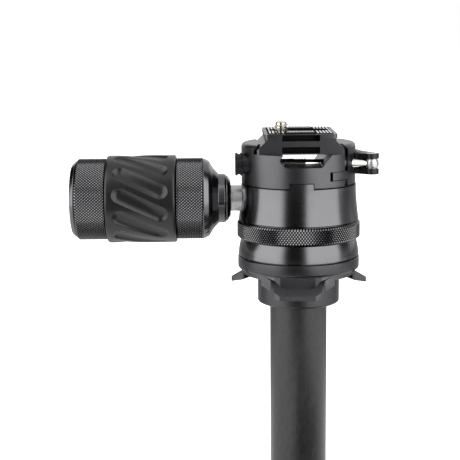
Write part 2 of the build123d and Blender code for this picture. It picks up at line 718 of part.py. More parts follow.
def handle_cone():
    """Tapered front of the handle, with its neck and nose."""
    cone = turned_x([
        (RIGHT_KNURL_X, 0), (RIGHT_KNURL_X, KNURL_R - EDGE), (SHOULDER_X, SHOULDER_R),
        (CONE_X, CONE_R), (NECK_X, NECK_R), (NOSE_X, NOSE_R), (NOSE_X, 0),
    ], HANDLE_Z)
    return cone - bar_x(THREAD_R, RIGHT_KNURL_X - OVERRUN, NOSE_X + OVERRUN, 0, HANDLE_Z)


def handle_barrel():
    """Knurled barrel that carries the rubber sleeve."""
    barrel = turned_x([
        (LEFT_KNURL_X, 0), (LEFT_KNURL_X, KNURL_R - EDGE), (LEFT_KNURL_X + EDGE, KNURL_R),
        (SLEEVE_LEFT_X - EDGE, KNURL_R), (SLEEVE_LEFT_X, KNURL_R - EDGE), (SLEEVE_LEFT_X, CORE_R),
        (SLEEVE_RIGHT_X, CORE_R), (SLEEVE_RIGHT_X, KNURL_R - EDGE), (SLEEVE_RIGHT_X + EDGE, KNURL_R),
        (RIGHT_KNURL_X - EDGE, KNURL_R), (RIGHT_KNURL_X, KNURL_R - EDGE), (RIGHT_KNURL_X, 0),
    ], HANDLE_Z)
    inner = CORE_R - CORE_WALL
    hollow_left = bar_x(inner, LEFT_KNURL_X - OVERRUN, SLEEVE_LEFT_X, 0, HANDLE_Z)
    hollow_right = bar_x(inner, SLEEVE_LEFT_X + CORE_WEB, RIGHT_KNURL_X + OVERRUN, 0, HANDLE_Z)
    bore = bar_x(THREAD_R, LEFT_KNURL_X, RIGHT_KNURL_X + OVERRUN, 0, HANDLE_Z)
    return barrel - hollow_left - hollow_right - bore


def flute():
    """One slanted hollow in the sleeve, as a rounded bar that follows the surface."""
    radius = (FLUTE_HALF_WIDTH**2 + FLUTE_DEPTH**2) / (2 * FLUTE_DEPTH)
    axis_r = SLEEVE_R + radius - FLUTE_DEPTH
    middle = (SLEEVE_LEFT_X + SLEEVE_RIGHT_X) / 2
    places = []
    for share in (-0.5, 0, 0.5):
        angle = radians(-90 + FLUTE_TWIST * share)
        y = axis_r * cos(angle)
        z = HANDLE_Z + axis_r * sin(angle)
        places.append(Vector(middle + FLUTE_SPAN * share, y, z))
    solid = Pos(places[1]) * Sphere(radius)
    for start, end in zip(places, places[1:]):
        length = (end - start).length
        face = Plane(origin=start, z_dir=end - start) * Circle(radius)
        solid += extrude(face, length)
    for place in (places[0], places[2]):
        solid += Pos(place) * Sphere(radius)
    return solid


def rubber_sleeve():
    """Rubber grip with slanted hollows round it."""
    lip = (SLEEVE_R - CORE_R) / 2
    sleeve = turned_x([
        (SLEEVE_LEFT_X, CORE_R), (SLEEVE_LEFT_X, SLEEVE_R - lip / 2), (SLEEVE_LEFT_X + lip / 2, SLEEVE_R),
        (SLEEVE_RIGHT_X - lip / 2, SLEEVE_R), (SLEEVE_RIGHT_X, SLEEVE_R - lip / 2), (SLEEVE_RIGHT_X, CORE_R),
    ], HANDLE_Z)
    hollow = flute()
    centre = Pos(0, 0, HANDLE_Z)
    for index in range(FLUTE_COUNT):
        turn = Rot(index * 360 / FLUTE_COUNT, 0, 0)
        sleeve -= centre * turn * centre.inverse() * hollow
    return sleeve


def end_cap():
    """Cap on the outer end of the handle."""
    seat = LEFT_KNURL_X
    spigot_r = CORE_R - CORE_WALL
    cap = turned_x([
        (HANDLE_END_X, 0), (HANDLE_END_X, KNURL_R - CAP_CHAMFER), (seat, KNURL_R - EDGE),
        (seat, spigot_r), (seat + CAP_SPIGOT, spigot_r), (seat + CAP_SPIGOT, 0),
    ], HANDLE_Z)
    head_x = HANDLE_END_X + CAP_SCREW_HEAD + EDGE
    cap -= bar_x(CAP_SCREW_HEAD_R + HOLE_GAP, HANDLE_END_X - OVERRUN, head_x, 0, HANDLE_Z)
    return cap - bar_x(CAP_SCREW_R, HANDLE_END_X, seat + CAP_SPIGOT + OVERRUN, 0, HANDLE_Z)


def cap_screw_x():
    """Screw that holds the cap and the barrel on the shaft."""
    seat = HANDLE_END_X + CAP_SCREW_HEAD + EDGE
    screw = bar_x(CAP_SCREW_HEAD_R, seat - CAP_SCREW_HEAD, seat, 0, HANDLE_Z)
    screw += bar_x(CAP_SCREW_R, seat, seat + CAP_SCREW_LENGTH, 0, HANDLE_Z)
    face = Plane(origin=(seat - CAP_SCREW_HEAD - OVERRUN, 0, HANDLE_Z), z_dir=(1, 0, 0))
    return screw - extrude(face * RegularPolygon(HEX_R, 6), OVERRUN + CAP_SCREW_HEAD / 2)


def clamp_round():
    """Round outside of the clamp body, with its rounded upper edge."""
    body = cylinder(BODY_R, BELL_TOP_Z, BODY_TOP_Z)
    body = fillet(body.edges().group_by(Axis.Z)[-1], BODY_EDGE)
    seam = tube(BODY_R + OVERRUN, BODY_R - SEAM_GAP, BELL_TOP_Z - OVERRUN, BELL_TOP_Z + SEAM_GAP)
    return body - seam


def dovetail_prism(gap, half):
    """Prism along Y with the foot's outline and a gap each side."""
    foot = FOOT_HALF + gap
    rise = BODY_TOP_Z + OVERRUN - FOOT_TOP_Z
    return prism_y([
        (-foot, CHANNEL_Z), (foot, CHANNEL_Z), (foot, FOOT_TOP_Z),
        (foot - rise, BODY_TOP_Z + OVERRUN), (-foot + rise, BODY_TOP_Z + OVERRUN), (-foot, FOOT_TOP_Z),
    ], half)


def channel_cut():
    """Dovetail channel along Y, with wider mouths at its two ends."""
    mouth = dovetail_prism(LEAD_GAP, BODY_R + OVERRUN) - dovetail_prism(LEAD_GAP + OVERRUN, LEAD_START_Y)
    return dovetail_prism(RUN_FIT, BODY_R + OVERRUN) + mouth


def slot_outline(floor):
    """Front outline of the slot that shows the draw rod."""
    top = CHANNEL_Z + EDGE
    return [
        (SLOT_FLOOR_LEFT, floor), (SLOT_FLOOR_RIGHT, floor), (SLOT_TOP_RIGHT, CHANNEL_Z),
        (SLOT_TOP_RIGHT, top), (SLOT_TOP_LEFT, top), (SLOT_TOP_LEFT, CHANNEL_Z),
        (SLOT_WIDEST_X, SLOT_WIDEST_Z),
    ]


def clamp_body():
    """Upper body with the fixed jaw, the channel and the see-through slot."""
    body = clamp_round() - channel_cut()
    body -= block(0, BODY_R + OVERRUN, -BODY_R, BODY_R, CHANNEL_Z, BODY_TOP_Z + OVERRUN)
    body -= block(JAW_SPLIT_X, BODY_R + OVERRUN, -BODY_R, BODY_R, BELL_TOP_Z - OVERRUN, BODY_TOP_Z + OVERRUN)
    body -= prism_y(slot_outline(SLOT_FLOOR_Z), BODY_R + OVERRUN)
    back_slot = prism_y(slot_outline(SLOT_BACK_Z), BODY_R + OVERRUN)
    front = block(-BODY_R, BODY_R, -BODY_R - OVERRUN * 2, ROD_Y, SLOT_BACK_Z - OVERRUN, BODY_TOP_Z)
    body -= back_slot - front
    groove = ROD_R + SLIDE_GAP
    body -= bar_x(groove, SLOT_FLOOR_LEFT, SLOT_FLOOR_RIGHT, ROD_Y, ROD_Z)
    body -= bar_x(ROD_R + HOLE_GAP, -BODY_R, BODY_R, ROD_Y, ROD_Z)
    body -= bar_x(NUT_R + SLIDE_GAP, -BODY_R - OVERRUN, NUT_RIGHT_X + SLIDE_GAP, ROD_Y, ROD_Z)
    body -= bar_x(NUT_HUB_R + SLIDE_GAP, -BODY_R - OVERRUN, NUT_HUB_X + SLIDE_GAP, ROD_Y, ROD_Z)
    body -= bar_x(SPRING_R + HOLE_GAP, JAW_X - SPRING_LENGTH, JAW_X, ROD_Y, ROD_Z)
    body -= bar_x(GUIDE_R, JAW_SPLIT_X - GUIDE_ROOT, BODY_R, GUIDE_Y, ROD_Z)
    for side in (-1, 1):
        inner = side * (TONGUE_INNER_Y - SLIDE_GAP)
        outer = side * (BODY_R + OVERRUN)
        left = TONGUE_X - TONGUE_LEFT_GAP
        low = TONGUE_Z - SLIDE_GAP
        high = TONGUE_Z + TONGUE_HEIGHT + SLIDE_GAP
        body -= block(left, BODY_R, min(inner, outer), max(inner, outer), low, high)
    notch = TAB_WIDTH / 2 + SEAM_GAP
    depth = BODY_R - TAB_DEPTH - SEAM_GAP
    body -= block(-notch, notch, -BODY_R - OVERRUN, -depth, BELL_TOP_Z - OVERRUN, BELL_TOP_Z + TAB_HEIGHT + SEAM_GAP)
    body -= cylinder(BELL_BORE_R, BELL_TOP_Z - OVERRUN, BELL_TOP_Z + OVERRUN)
    for x, y in body_screw_places():
        body -= post(SCREW_R, BELL_TOP_Z - OVERRUN, screw_seat_z() + SCREW_LENGTH + EDGE, x, y)
    for index in range(TICK_COUNT):
        x = -notch - TICK_PITCH * index
        cut = block(x, x + TICK_WIDTH, -BODY_R - OVERRUN, -BODY_R + SEAM_GAP * 2, BELL_TOP_Z, BELL_TOP_Z + TICK_HEIGHT)
        body -= cut
    return body


def movable_jaw():
    """Jaw that the lever draws in against the plate's foot."""
    low = BELL_TOP_Z + SEAM_GAP
    body = cylinder(JAW_R, low, BODY_TOP_Z)
    body = fillet(body.edges().group_by(Axis.Z)[-1], BODY_EDGE)
    jaw = body & block(JAW_X, BODY_R, -BODY_R, BODY_R, low, BODY_TOP_Z)
    jaw -= channel_cut()
    lip_low = FOOT_TOP_Z + RUN_FIT
    lip = body & block(WAIST_HALF, JAW_X, -BODY_R, BODY_R, lip_low, BODY_TOP_Z)
    jaw += lip - channel_cut()
    for side in (-1, 1):
        inner = side * TONGUE_INNER_Y
        outer = side * BODY_R
        high = TONGUE_Z + TONGUE_HEIGHT
        strip = block(TONGUE_X, JAW_X, min(inner, outer), max(inner, outer), TONGUE_Z, high)
        jaw += strip & cylinder(JAW_R, TONGUE_Z, high)
    jaw -= bar_x(ROD_R + HOLE_GAP, 0, BODY_R + OVERRUN, ROD_Y, ROD_Z)
    return jaw - bar_x(GUIDE_R + RUN_FIT, 0, JAW_X + GUIDE_REACH + EDGE, GUIDE_Y, ROD_Z)


def guide_pin():
    """Dowel that keeps the jaw square to the body."""
    return bar_x(GUIDE_R, JAW_SPLIT_X - GUIDE_ROOT, JAW_X + GUIDE_REACH, GUIDE_Y, ROD_Z)


def jaw_spring():
    """Spring round the rod that opens the jaw."""
    left = JAW_X - SPRING_LENGTH
    outer = bar_x(SPRING_R, left, JAW_X, ROD_Y, ROD_Z)
    return outer - bar_x(SPRING_R - SPRING_WIRE, left - OVERRUN, JAW_X + OVERRUN, ROD_Y, ROD_Z)


def draw_rod():
    """Steel rod through the body, from the tension nut to the lever's barrel."""
    rod = bar_x(ROD_R, ROD_LEFT_X, ROD_STEP_X, ROD_Y, ROD_Z)
    rod += bar_x(ROD_THIN_R, ROD_STEP_X, LEVER_X - BARREL_R / 2, ROD_Y, ROD_Z)
    for index in range(RIB_COUNT):
        left = ROD_STEP_X + RIB_PITCH * (index + 1) - RIB_WIDTH
        rod += bar_x(ROD_R, left, left + RIB_WIDTH, ROD_Y, ROD_Z)
    return rod - post(BARREL_R, EAR_BOTTOM_Z, EAR_TOP_Z, LEVER_X, ROD_Y)


def lever_barrel():
    """Cross pin that joins the rod to the lever."""
    return post(BARREL_R, EAR_BOTTOM_Z, EAR_TOP_Z, LEVER_X, ROD_Y)


def tension_nut():
    """Thumb nut on the rod that sets how hard the lever clamps."""
    width = NUT_RIGHT_X - NUT_LEFT_X
    nut = bar_x(NUT_R, NUT_LEFT_X, NUT_RIGHT_X, ROD_Y, ROD_Z)
    nut = chamfer(nut.edges().filter_by(GeomType.CIRCLE), EDGE)
    third = width / 3
    groove = bar_x(NUT_R + OVERRUN, NUT_LEFT_X + third, NUT_RIGHT_X - third, ROD_Y, ROD_Z)
    groove -= bar_x(NUT_R - NUT_GROOVE, NUT_LEFT_X, NUT_RIGHT_X, ROD_Y, ROD_Z)
    nut -= groove
    for index in range(NUT_SCALLOPS):
        angle = radians(SCALLOP_START + index * 360 / NUT_SCALLOPS)
        reach = NUT_R + SCALLOP_R / 2
        y = ROD_Y + reach * cos(angle)
        z = ROD_Z + reach * sin(angle)
        nut -= bar_x(SCALLOP_R, NUT_LEFT_X - OVERRUN, NUT_RIGHT_X + OVERRUN, y, z)
    nut += bar_x(NUT_HUB_R, NUT_RIGHT_X, NUT_HUB_X, ROD_Y, ROD_Z)
    return nut - bar_x(ROD_R + HOLE_GAP, NUT_LEFT_X + EDGE, NUT_HUB_X + OVERRUN, ROD_Y, ROD_Z)


def cam_reach():
    """Distance from the lever's pin to the closed jaw, less the cam's gap."""
    return hypot(LEVER_X, ROD_Y) - JAW_R - CAM_GAP


def from_pin(distance, angle):
    """Place at a distance and an angle from the lever's pin."""
    return LEVER_X + distance * cos(radians(angle)), ROD_Y + distance * sin(radians(angle))


def clamp_lever():
    """Lever with two cam ears and an arm that hugs the body."""
    low, high = EAR_BOTTOM_Z, EAR_TOP_Z
    outer_r = LEVER_INNER_R + LEVER_WALL
    start = degrees(atan2(ROD_Y, LEVER_X)) + LEVER_ROOT
    arm = tube(outer_r, LEVER_INNER_R, low, high)
    far = outer_r + LEVER_X
    points = [(0, 0)]
    for share in (0, 0.5, 1):
        angle = radians(start + LEVER_SWEEP * share)
        points.append((far * cos(angle), far * sin(angle)))
    arm &= prism_z(points, low, high)
    open_r = cam_reach() - JAW_TRAVEL
    nose = post(cam_reach(), low, high, LEVER_X, ROD_Y)
    toward = degrees(atan2(-ROD_Y, -LEVER_X))
    wedge = [(LEVER_X, ROD_Y)]
    for turn in (-CAM_HALF_ANGLE, CAM_HALF_ANGLE):
        wedge.append(from_pin(far, toward + turn))
    nose &= prism_z(wedge, low, high)
    root_angle = radians(start)
    inner = (outer_r * cos(root_angle), outer_r * sin(root_angle))
    tail_angle = radians(start + LEVER_SWEEP * LEVER_TAIL_SHARE)
    tail = (outer_r * cos(tail_angle), outer_r * sin(tail_angle))
    side = from_pin(EAR_R, EAR_SIDE_ANGLE)
    front = from_pin(-EAR_R, EAR_FRONT_ANGLE)
    nose_front = from_pin(open_r, toward - CAM_HALF_ANGLE)
    lower = from_pin(open_r, toward + CAM_HALF_ANGLE)
    web = prism_z([front, side, tail, inner, nose_front, lower], low, high)
    lever = arm + web + nose + post(EAR_R, low, high, LEVER_X, ROD_Y)
    gap_low = low + EAR_THICK
    gap_high = high - EAR_THICK
    fork = block(LEVER_INNER_R - EAR_R * 2, LEVER_X + EAR_R * 2, ROD_Y - EAR_R * 2,
                 ROD_Y + EAR_R + HOLE_GAP, gap_low, gap_high)
    lever -= fork
    lever -= post(BARREL_R + EAR_R + HOLE_GAP, gap_low, gap_high, LEVER_X, ROD_Y)
    return lever - post(BARREL_R + RUN_FIT, low - OVERRUN, high + OVERRUN, LEVER_X, ROD_Y)


def quick_plate():
    """Dovetail plate with strap recesses front and back and a slot for the camera screw."""
    body = prism_y([
        (-FOOT_HALF, CHANNEL_Z), (FOOT_HALF, CHANNEL_Z), (FOOT_HALF, FOOT_TOP_Z),
        (WAIST_HALF, FLARE_TOP_Z), (WAIST_HALF, QR_TOP_Z), (-WAIST_HALF, QR_TOP_Z),
        (-WAIST_HALF, FLARE_TOP_Z), (-FOOT_HALF, FOOT_TOP_Z),
    ], QR_HALF_LENGTH)
    corners = [
        edge for edge in body.edges().filter_by(Axis.Z)
        if abs(abs(edge.center().X) - WAIST_HALF) < EDGE and edge.center().Z > FLARE_TOP_Z
    ]
    body = fillet(corners, WAIST_CORNER)
    lip_half = WAIST_HALF + QR_LIP_SIDE
    lip_y = QR_HALF_LENGTH + QR_LIP_OUT
    lip = block(-lip_half, lip_half, -lip_y, lip_y, QR_TOP_Z - QR_LIP, QR_TOP_Z)
    lip = fillet(lip.edges().filter_by(Axis.Z), QR_CORNER)
    body += lip
    for sx in (-1, 1):
        for sy in (-1, 1):
            corner = Pos(sx * FOOT_HALF, sy * QR_HALF_LENGTH, CHANNEL_Z) * Rot(0, 0, DIAGONAL)
            body -= corner * Box(QR_FOOT_CORNER * 2, QR_FOOT_CORNER * 2, FLARE_TOP_Z)
    for side in (-1, 1):
        outer = side * (lip_y + OVERRUN)
        inner = side * (QR_HALF_LENGTH - RECESS_DEPTH)
        low = CHANNEL_Z + RECESS_FLOOR
        cut = block(-RECESS_HALF, RECESS_HALF, min(inner, outer), max(inner, outer), low, QR_TOP_Z - EDGE)
        front = side * (QR_HALF_LENGTH + QR_LIP_OUT)
        back = side * (QR_HALF_LENGTH - BAR_DEPTH)
        bar_top = BAR_BOTTOM_Z + BAR_HEIGHT
        cut -= block(-RECESS_HALF, RECESS_HALF, min(back, front), max(back, front), BAR_BOTTOM_Z, bar_top)
        body -= cut
    travel = -CAMERA_SCREW_X
    for radius, low, high in (
        (CAMERA_HEAD_R + SLIDE_GAP, CHANNEL_Z - OVERRUN, CAMERA_HEAD_Z + CAMERA_HEAD + HOLE_GAP),
        (CAMERA_SHANK_R + SLIDE_GAP, CHANNEL_Z, QR_TOP_Z + OVERRUN),
        (WASHER_R + SLIDE_GAP, QR_TOP_Z - PAD_SINK - WASHER_THICK - HOLE_GAP, QR_TOP_Z + OVERRUN),
    ):
        body -= post(radius, low, high, -travel, 0)
        body -= post(radius, low, high, travel, 0)
        body -= block(-travel, travel, -radius, radius, low, high)
    for side in (-1, 1):
        place = side * STOP_PIN_PLACE
        body -= post(PIN_R, CHANNEL_Z - OVERRUN, CHANNEL_Z + PIN_SINK, place, place)
    sink = QR_TOP_Z - PAD_SINK
    return body - pad_blank(sink, QR_TOP_Z + OVERRUN)


def pad_blank(low, high):
    """Outline of the rubber pad, between two heights."""
    half = WAIST_HALF - PAD_MARGIN
    depth = QR_HALF_LENGTH - PAD_FRONT_MARGIN
    blank = block(-half, half, -depth, depth, low, high)
    return fillet(blank.edges().filter_by(Axis.Z), QR_CORNER / 2)


def rubber_pad():
    """Ribbed rubber pad under the camera."""
    floor = QR_TOP_Z - PAD_SINK
    ribs_low = floor + PAD_HEIGHT - PAD_RIB / 2
    top = floor + PAD_HEIGHT
    pad = pad_blank(floor, ribs_low)
    blank = pad_blank(ribs_low, top)
    half = WAIST_HALF - PAD_MARGIN
    for side in (-1, 1):
        for index in range(PAD_SIDE_RIBS):
            x = side * (half - PAD_RIB - PAD_PITCH * index)
            left = min(x, x - side * PAD_RIB)
            pad += blank & block(left, left + PAD_RIB, -FOOT_HALF, FOOT_HALF, ribs_low, top)
    inner = half - PAD_PITCH * PAD_SIDE_RIBS - PAD_RIB
    pad += blank & block(-inner, inner, -FOOT_HALF, FOOT_HALF, ribs_low, top)
    travel = -CAMERA_SCREW_X
    radius = WASHER_R + SLIDE_GAP
    pad -= post(radius, floor - OVERRUN, top + OVERRUN, -travel, 0)
    pad -= post(radius, floor - OVERRUN, top + OVERRUN, travel, 0)
    return pad - block(-travel, travel, -radius, radius, floor - OVERRUN, top + OVERRUN)


def stop_pins():
    """Short pins under the foot that stop the plate at the ends of the channel."""
    pins = []
    for side in (-1, 1):
        place = side * STOP_PIN_PLACE
        pins.append(post(PIN_R, CHANNEL_Z + HOLE_GAP, CHANNEL_Z + PIN_SINK, place, place))
    return Compound(pins)


def screw_washer():
    """Retaining washer that keeps the camera screw in the plate's slot."""
    low = QR_TOP_Z - PAD_SINK - WASHER_THICK
    washer = post(WASHER_R, low, low + WASHER_THICK, CAMERA_SCREW_X, 0)
    return washer - post(CAMERA_SHANK_R + RUN_FIT, low - OVERRUN, low + OVERRUN, CAMERA_SCREW_X, 0)


def camera_screw():
    """Quarter-inch screw with a slotted head."""
    x = CAMERA_SCREW_X
    head_top = CAMERA_HEAD_Z + CAMERA_HEAD
    screw = post(CAMERA_HEAD_R, CAMERA_HEAD_Z, head_top, x, 0)
    slot = block(x - FOOT_HALF, x + FOOT_HALF, -EDGE, EDGE, CAMERA_HEAD_Z - OVERRUN, CAMERA_HEAD_Z + EDGE * 3)
    screw -= slot
    thread_low = QR_TOP_Z - PAD_SINK + HOLE_GAP
    screw += post(CAMERA_SHANK_R, head_top, thread_low, x, 0)
    core = CAMERA_THREAD_R - THREAD_DEPTH
    length = CAMERA_SCREW_TOP_Z - thread_low
    pitch = length / CAMERA_THREADS
    outline = [(0, thread_low), (core, thread_low)]
    for index in range(CAMERA_THREADS):
        low = thread_low + pitch * index
        outline.append((CAMERA_THREAD_R, low + pitch * CREST_SHARE))
        outline.append((CAMERA_THREAD_R, low + pitch * (1 - CREST_SHARE)))
        outline.append((core, low + pitch))
    outline.append((0, CAMERA_SCREW_TOP_Z))
    return screw + Pos(x, 0, 0) * turned(outline)


SUB_PARTS = {
    "centre_column": centre_column,
    "column_insert": column_insert,
    "column_plug": column_plug,
    "hook_collar": hook_collar,
    "collar_grub_screws": collar_grub_screws,
    "base_plate": base_plate,
    "base_bolt": base_bolt,
    "half_ball": half_ball,
    "ball_screws": ball_screws,
    "friction_liner": friction_liner,
    "clamp_cup": clamp_cup,
    "ball_clamp": ball_clamp,
    "draw_bolt": draw_bolt,
    "clamp_nut": clamp_nut,
    "pan_lock_ring": lock_ring,
    "bell_housing": bell_housing,
    "shaft_bushing": shaft_bushing,
    "tail_bushing": tail_bushing,
    "handle_shaft": handle_shaft,
    "handle_cone": handle_cone,
    "handle_barrel": handle_barrel,
    "rubber_sleeve": rubber_sleeve,
    "end_cap": end_cap,
    "end_cap_screw": cap_screw_x,
    "clamp_body": clamp_body,
    "body_screws": body_screws,
    "movable_jaw": movable_jaw,
    "guide_pin": guide_pin,
    "jaw_spring": jaw_spring,
    "draw_rod": draw_rod,
    "lever_barrel": lever_barrel,
    "tension_nut": tension_nut,
    "clamp_lever": clamp_lever,
    "quick_plate": quick_plate,
    "rubber_pad": rubber_pad,
    "stop_pins": stop_pins,
    "screw_washer": screw_washer,
    "camera_screw": camera_screw,
}


def main():
    """Writes one file for each sub-part."""
    os.makedirs("parts", exist_ok=True)
    for name, make in SUB_PARTS.items():
        export_step(make(), f"parts/{name}.step")


main()
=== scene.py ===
"""Dressed scene of a half-ball leveling head with a twist-lock handle and a lever clamp.

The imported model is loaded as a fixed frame, in metres. Turned parts, knurls, the grip and the
thread are modelled here and stand for their plain solids. The other visible pieces are rounded
copies of their solids, and the hidden ones keep theirs. Lengths in the classes below are in
millimetres, and the studio's in metres.
"""
from __future__ import annotations

import json
import logging
import math
from collections.abc import Callable, Sequence
from dataclasses import dataclass
from enum import Enum

import bmesh
import bpy
from bmesh.types import BMesh
from bpy.types import Material, Node, NodeSocket, NodeTree, Object
from mathutils import Matrix, Vector

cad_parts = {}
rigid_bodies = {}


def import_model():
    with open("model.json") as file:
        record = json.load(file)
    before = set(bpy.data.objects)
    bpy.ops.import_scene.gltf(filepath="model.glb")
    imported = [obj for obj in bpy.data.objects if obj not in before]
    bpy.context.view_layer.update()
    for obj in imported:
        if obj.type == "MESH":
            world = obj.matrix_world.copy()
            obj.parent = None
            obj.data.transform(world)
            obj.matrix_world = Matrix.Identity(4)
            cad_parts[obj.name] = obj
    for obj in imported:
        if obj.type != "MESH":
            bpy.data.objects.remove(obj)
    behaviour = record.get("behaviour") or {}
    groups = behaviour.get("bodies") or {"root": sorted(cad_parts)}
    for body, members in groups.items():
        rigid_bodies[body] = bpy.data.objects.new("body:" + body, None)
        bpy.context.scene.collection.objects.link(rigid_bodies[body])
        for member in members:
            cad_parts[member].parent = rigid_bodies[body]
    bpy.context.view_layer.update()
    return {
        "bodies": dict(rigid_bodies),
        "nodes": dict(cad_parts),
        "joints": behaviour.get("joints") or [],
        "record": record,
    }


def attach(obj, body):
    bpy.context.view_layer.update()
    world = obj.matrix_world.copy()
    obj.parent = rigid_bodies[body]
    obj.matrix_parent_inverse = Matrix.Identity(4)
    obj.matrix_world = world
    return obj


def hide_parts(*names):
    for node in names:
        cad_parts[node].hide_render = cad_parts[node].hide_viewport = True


LOG = logging.getLogger("leveling_head")
MM = 0.001
# Vertex layer of a knurl, with one on its points and nought in its valleys; it places the painted
# shade of the valleys.
POINT_LAYER = "knurl_point"
# Lengths in millimetres that differ by less than this are the same.
NEAR = 0.01
# Vertices that are nearer in metres than this are one.
WELD = 1e-6
# Sockets of the colour mix node, whose names repeat.
MIX_FIRST, MIX_SECOND, MIX_RESULT = 6, 7, 2

Profile = list[tuple[float, float]]
Corner = tuple[float, float, float]


class Turning(Enum):
    """Axis that a turned part is spun about."""

    COLUMN = "Z"
    HANDLE = "X"


def linear(code: str) -> tuple[float, float, float, float]:
    """Turns an sRGB hex code into a linear colour.

    Args:
        code: Six hex digits with a leading hash.

    Returns:
        Linear red, green, blue and an alpha of one.
    """
    values = []
    for start in (1, 3, 5):
        channel = int(code[start:start + 2], 16) / 255
        low = channel / 12.92
        high = ((channel + 0.055) / 1.055) ** 2.4
        values.append(low if channel <= 0.04045 else high)
    return values[0], values[1], values[2], 1.0


def add_node(
    tree: NodeTree,
    kind: str,
    links: dict[str, NodeSocket] | None = None,
    values: dict[str, object] | None = None,
    **settings: object,
) -> Node:
    """Adds one node with its settings, values and incoming links.

    Args:
        tree: Node tree that gets the node.
        kind: Blender's name of the node type.
        links: Sockets to join to the node's inputs, by input name.
        values: Default values of the node's inputs, by input name.
        **settings: Attributes of the node itself.

    Returns:
        The new node.
    """
    node = tree.nodes.new(kind)
    for name, value in settings.items():
        setattr(node, name, value)
    for name, value in (values or {}).items():
        node.inputs[name].default_value = value
    for name, socket in (links or {}).items():
        tree.links.new(socket, node.inputs[name])
    return node


def maths(
    tree: NodeTree, operation: str, *terms: NodeSocket | float, clamp: bool = False
) -> NodeSocket:
    """Adds one sum to a node tree.

    Args:
        tree: Node tree that gets it.
        operation: Blender's name of the operation.
        *terms: The terms, as sockets or numbers.
        clamp: Whether the result stays between nought and one.

    Returns:
        Socket of the result.
    """
    node = add_node(tree, "ShaderNodeMath", operation=operation, use_clamp=clamp)
    for entry, term in zip(node.inputs, terms):
        if isinstance(term, float):
            entry.default_value = term
        else:
            tree.links.new(term, entry)
    return node.outputs[0]


def noise(
    tree: NodeTree, vector: NodeSocket, grain_mm: float, detail: float, roughness: float = 0.5
) -> NodeSocket:
    """Adds a noise with a grain of a real size.

    Args:
        tree: Node tree that gets it.
        vector: Socket of the places, in metres.
        grain_mm: Size of the grain in millimetres.
        detail: Number of finer layers.
        roughness: How strong the finer layers are.

    Returns:
        Socket of its value.
    """
    node = add_node(
        tree, "ShaderNodeTexNoise", {"Vector": vector},
        {"Scale": 1 / (grain_mm * MM), "Detail": detail, "Roughness": roughness},
    )
    return node.outputs["Fac"]


def blend(
    tree: NodeTree, factor: NodeSocket, first: str, second: str | NodeSocket
) -> NodeSocket:
    """Adds a mix of two colours.

    Args:
        tree: Node tree that gets it.
        factor: Socket of the second colour's share.
        first: Hex code of the first colour.
        second: Hex code of the second colour, or its socket.

    Returns:
        Socket of the mixed colour.
    """
    node = add_node(tree, "ShaderNodeMix", {"Factor": factor}, data_type="RGBA")
    node.inputs[MIX_FIRST].default_value = linear(first)
    if isinstance(second, str):
        node.inputs[MIX_SECOND].default_value = linear(second)
    else:
        tree.links.new(second, node.inputs[MIX_SECOND])
    return node.outputs[MIX_RESULT]


def new_material(name: str) -> tuple[Material, Node]:
    """Makes an empty material with a shader wired to its output.

    Args:
        name: Name of the material.

    Returns:
        The material and its shader node.
    """
    material = bpy.data.materials.new(name)
    material.use_nodes = True
    tree = material.node_tree
    tree.nodes.clear()
    shader = add_node(tree, "ShaderNodeBsdfPrincipled")
    output = add_node(tree, "ShaderNodeOutputMaterial")
    tree.links.new(shader.outputs["BSDF"], output.inputs["Surface"])
    return material, shader


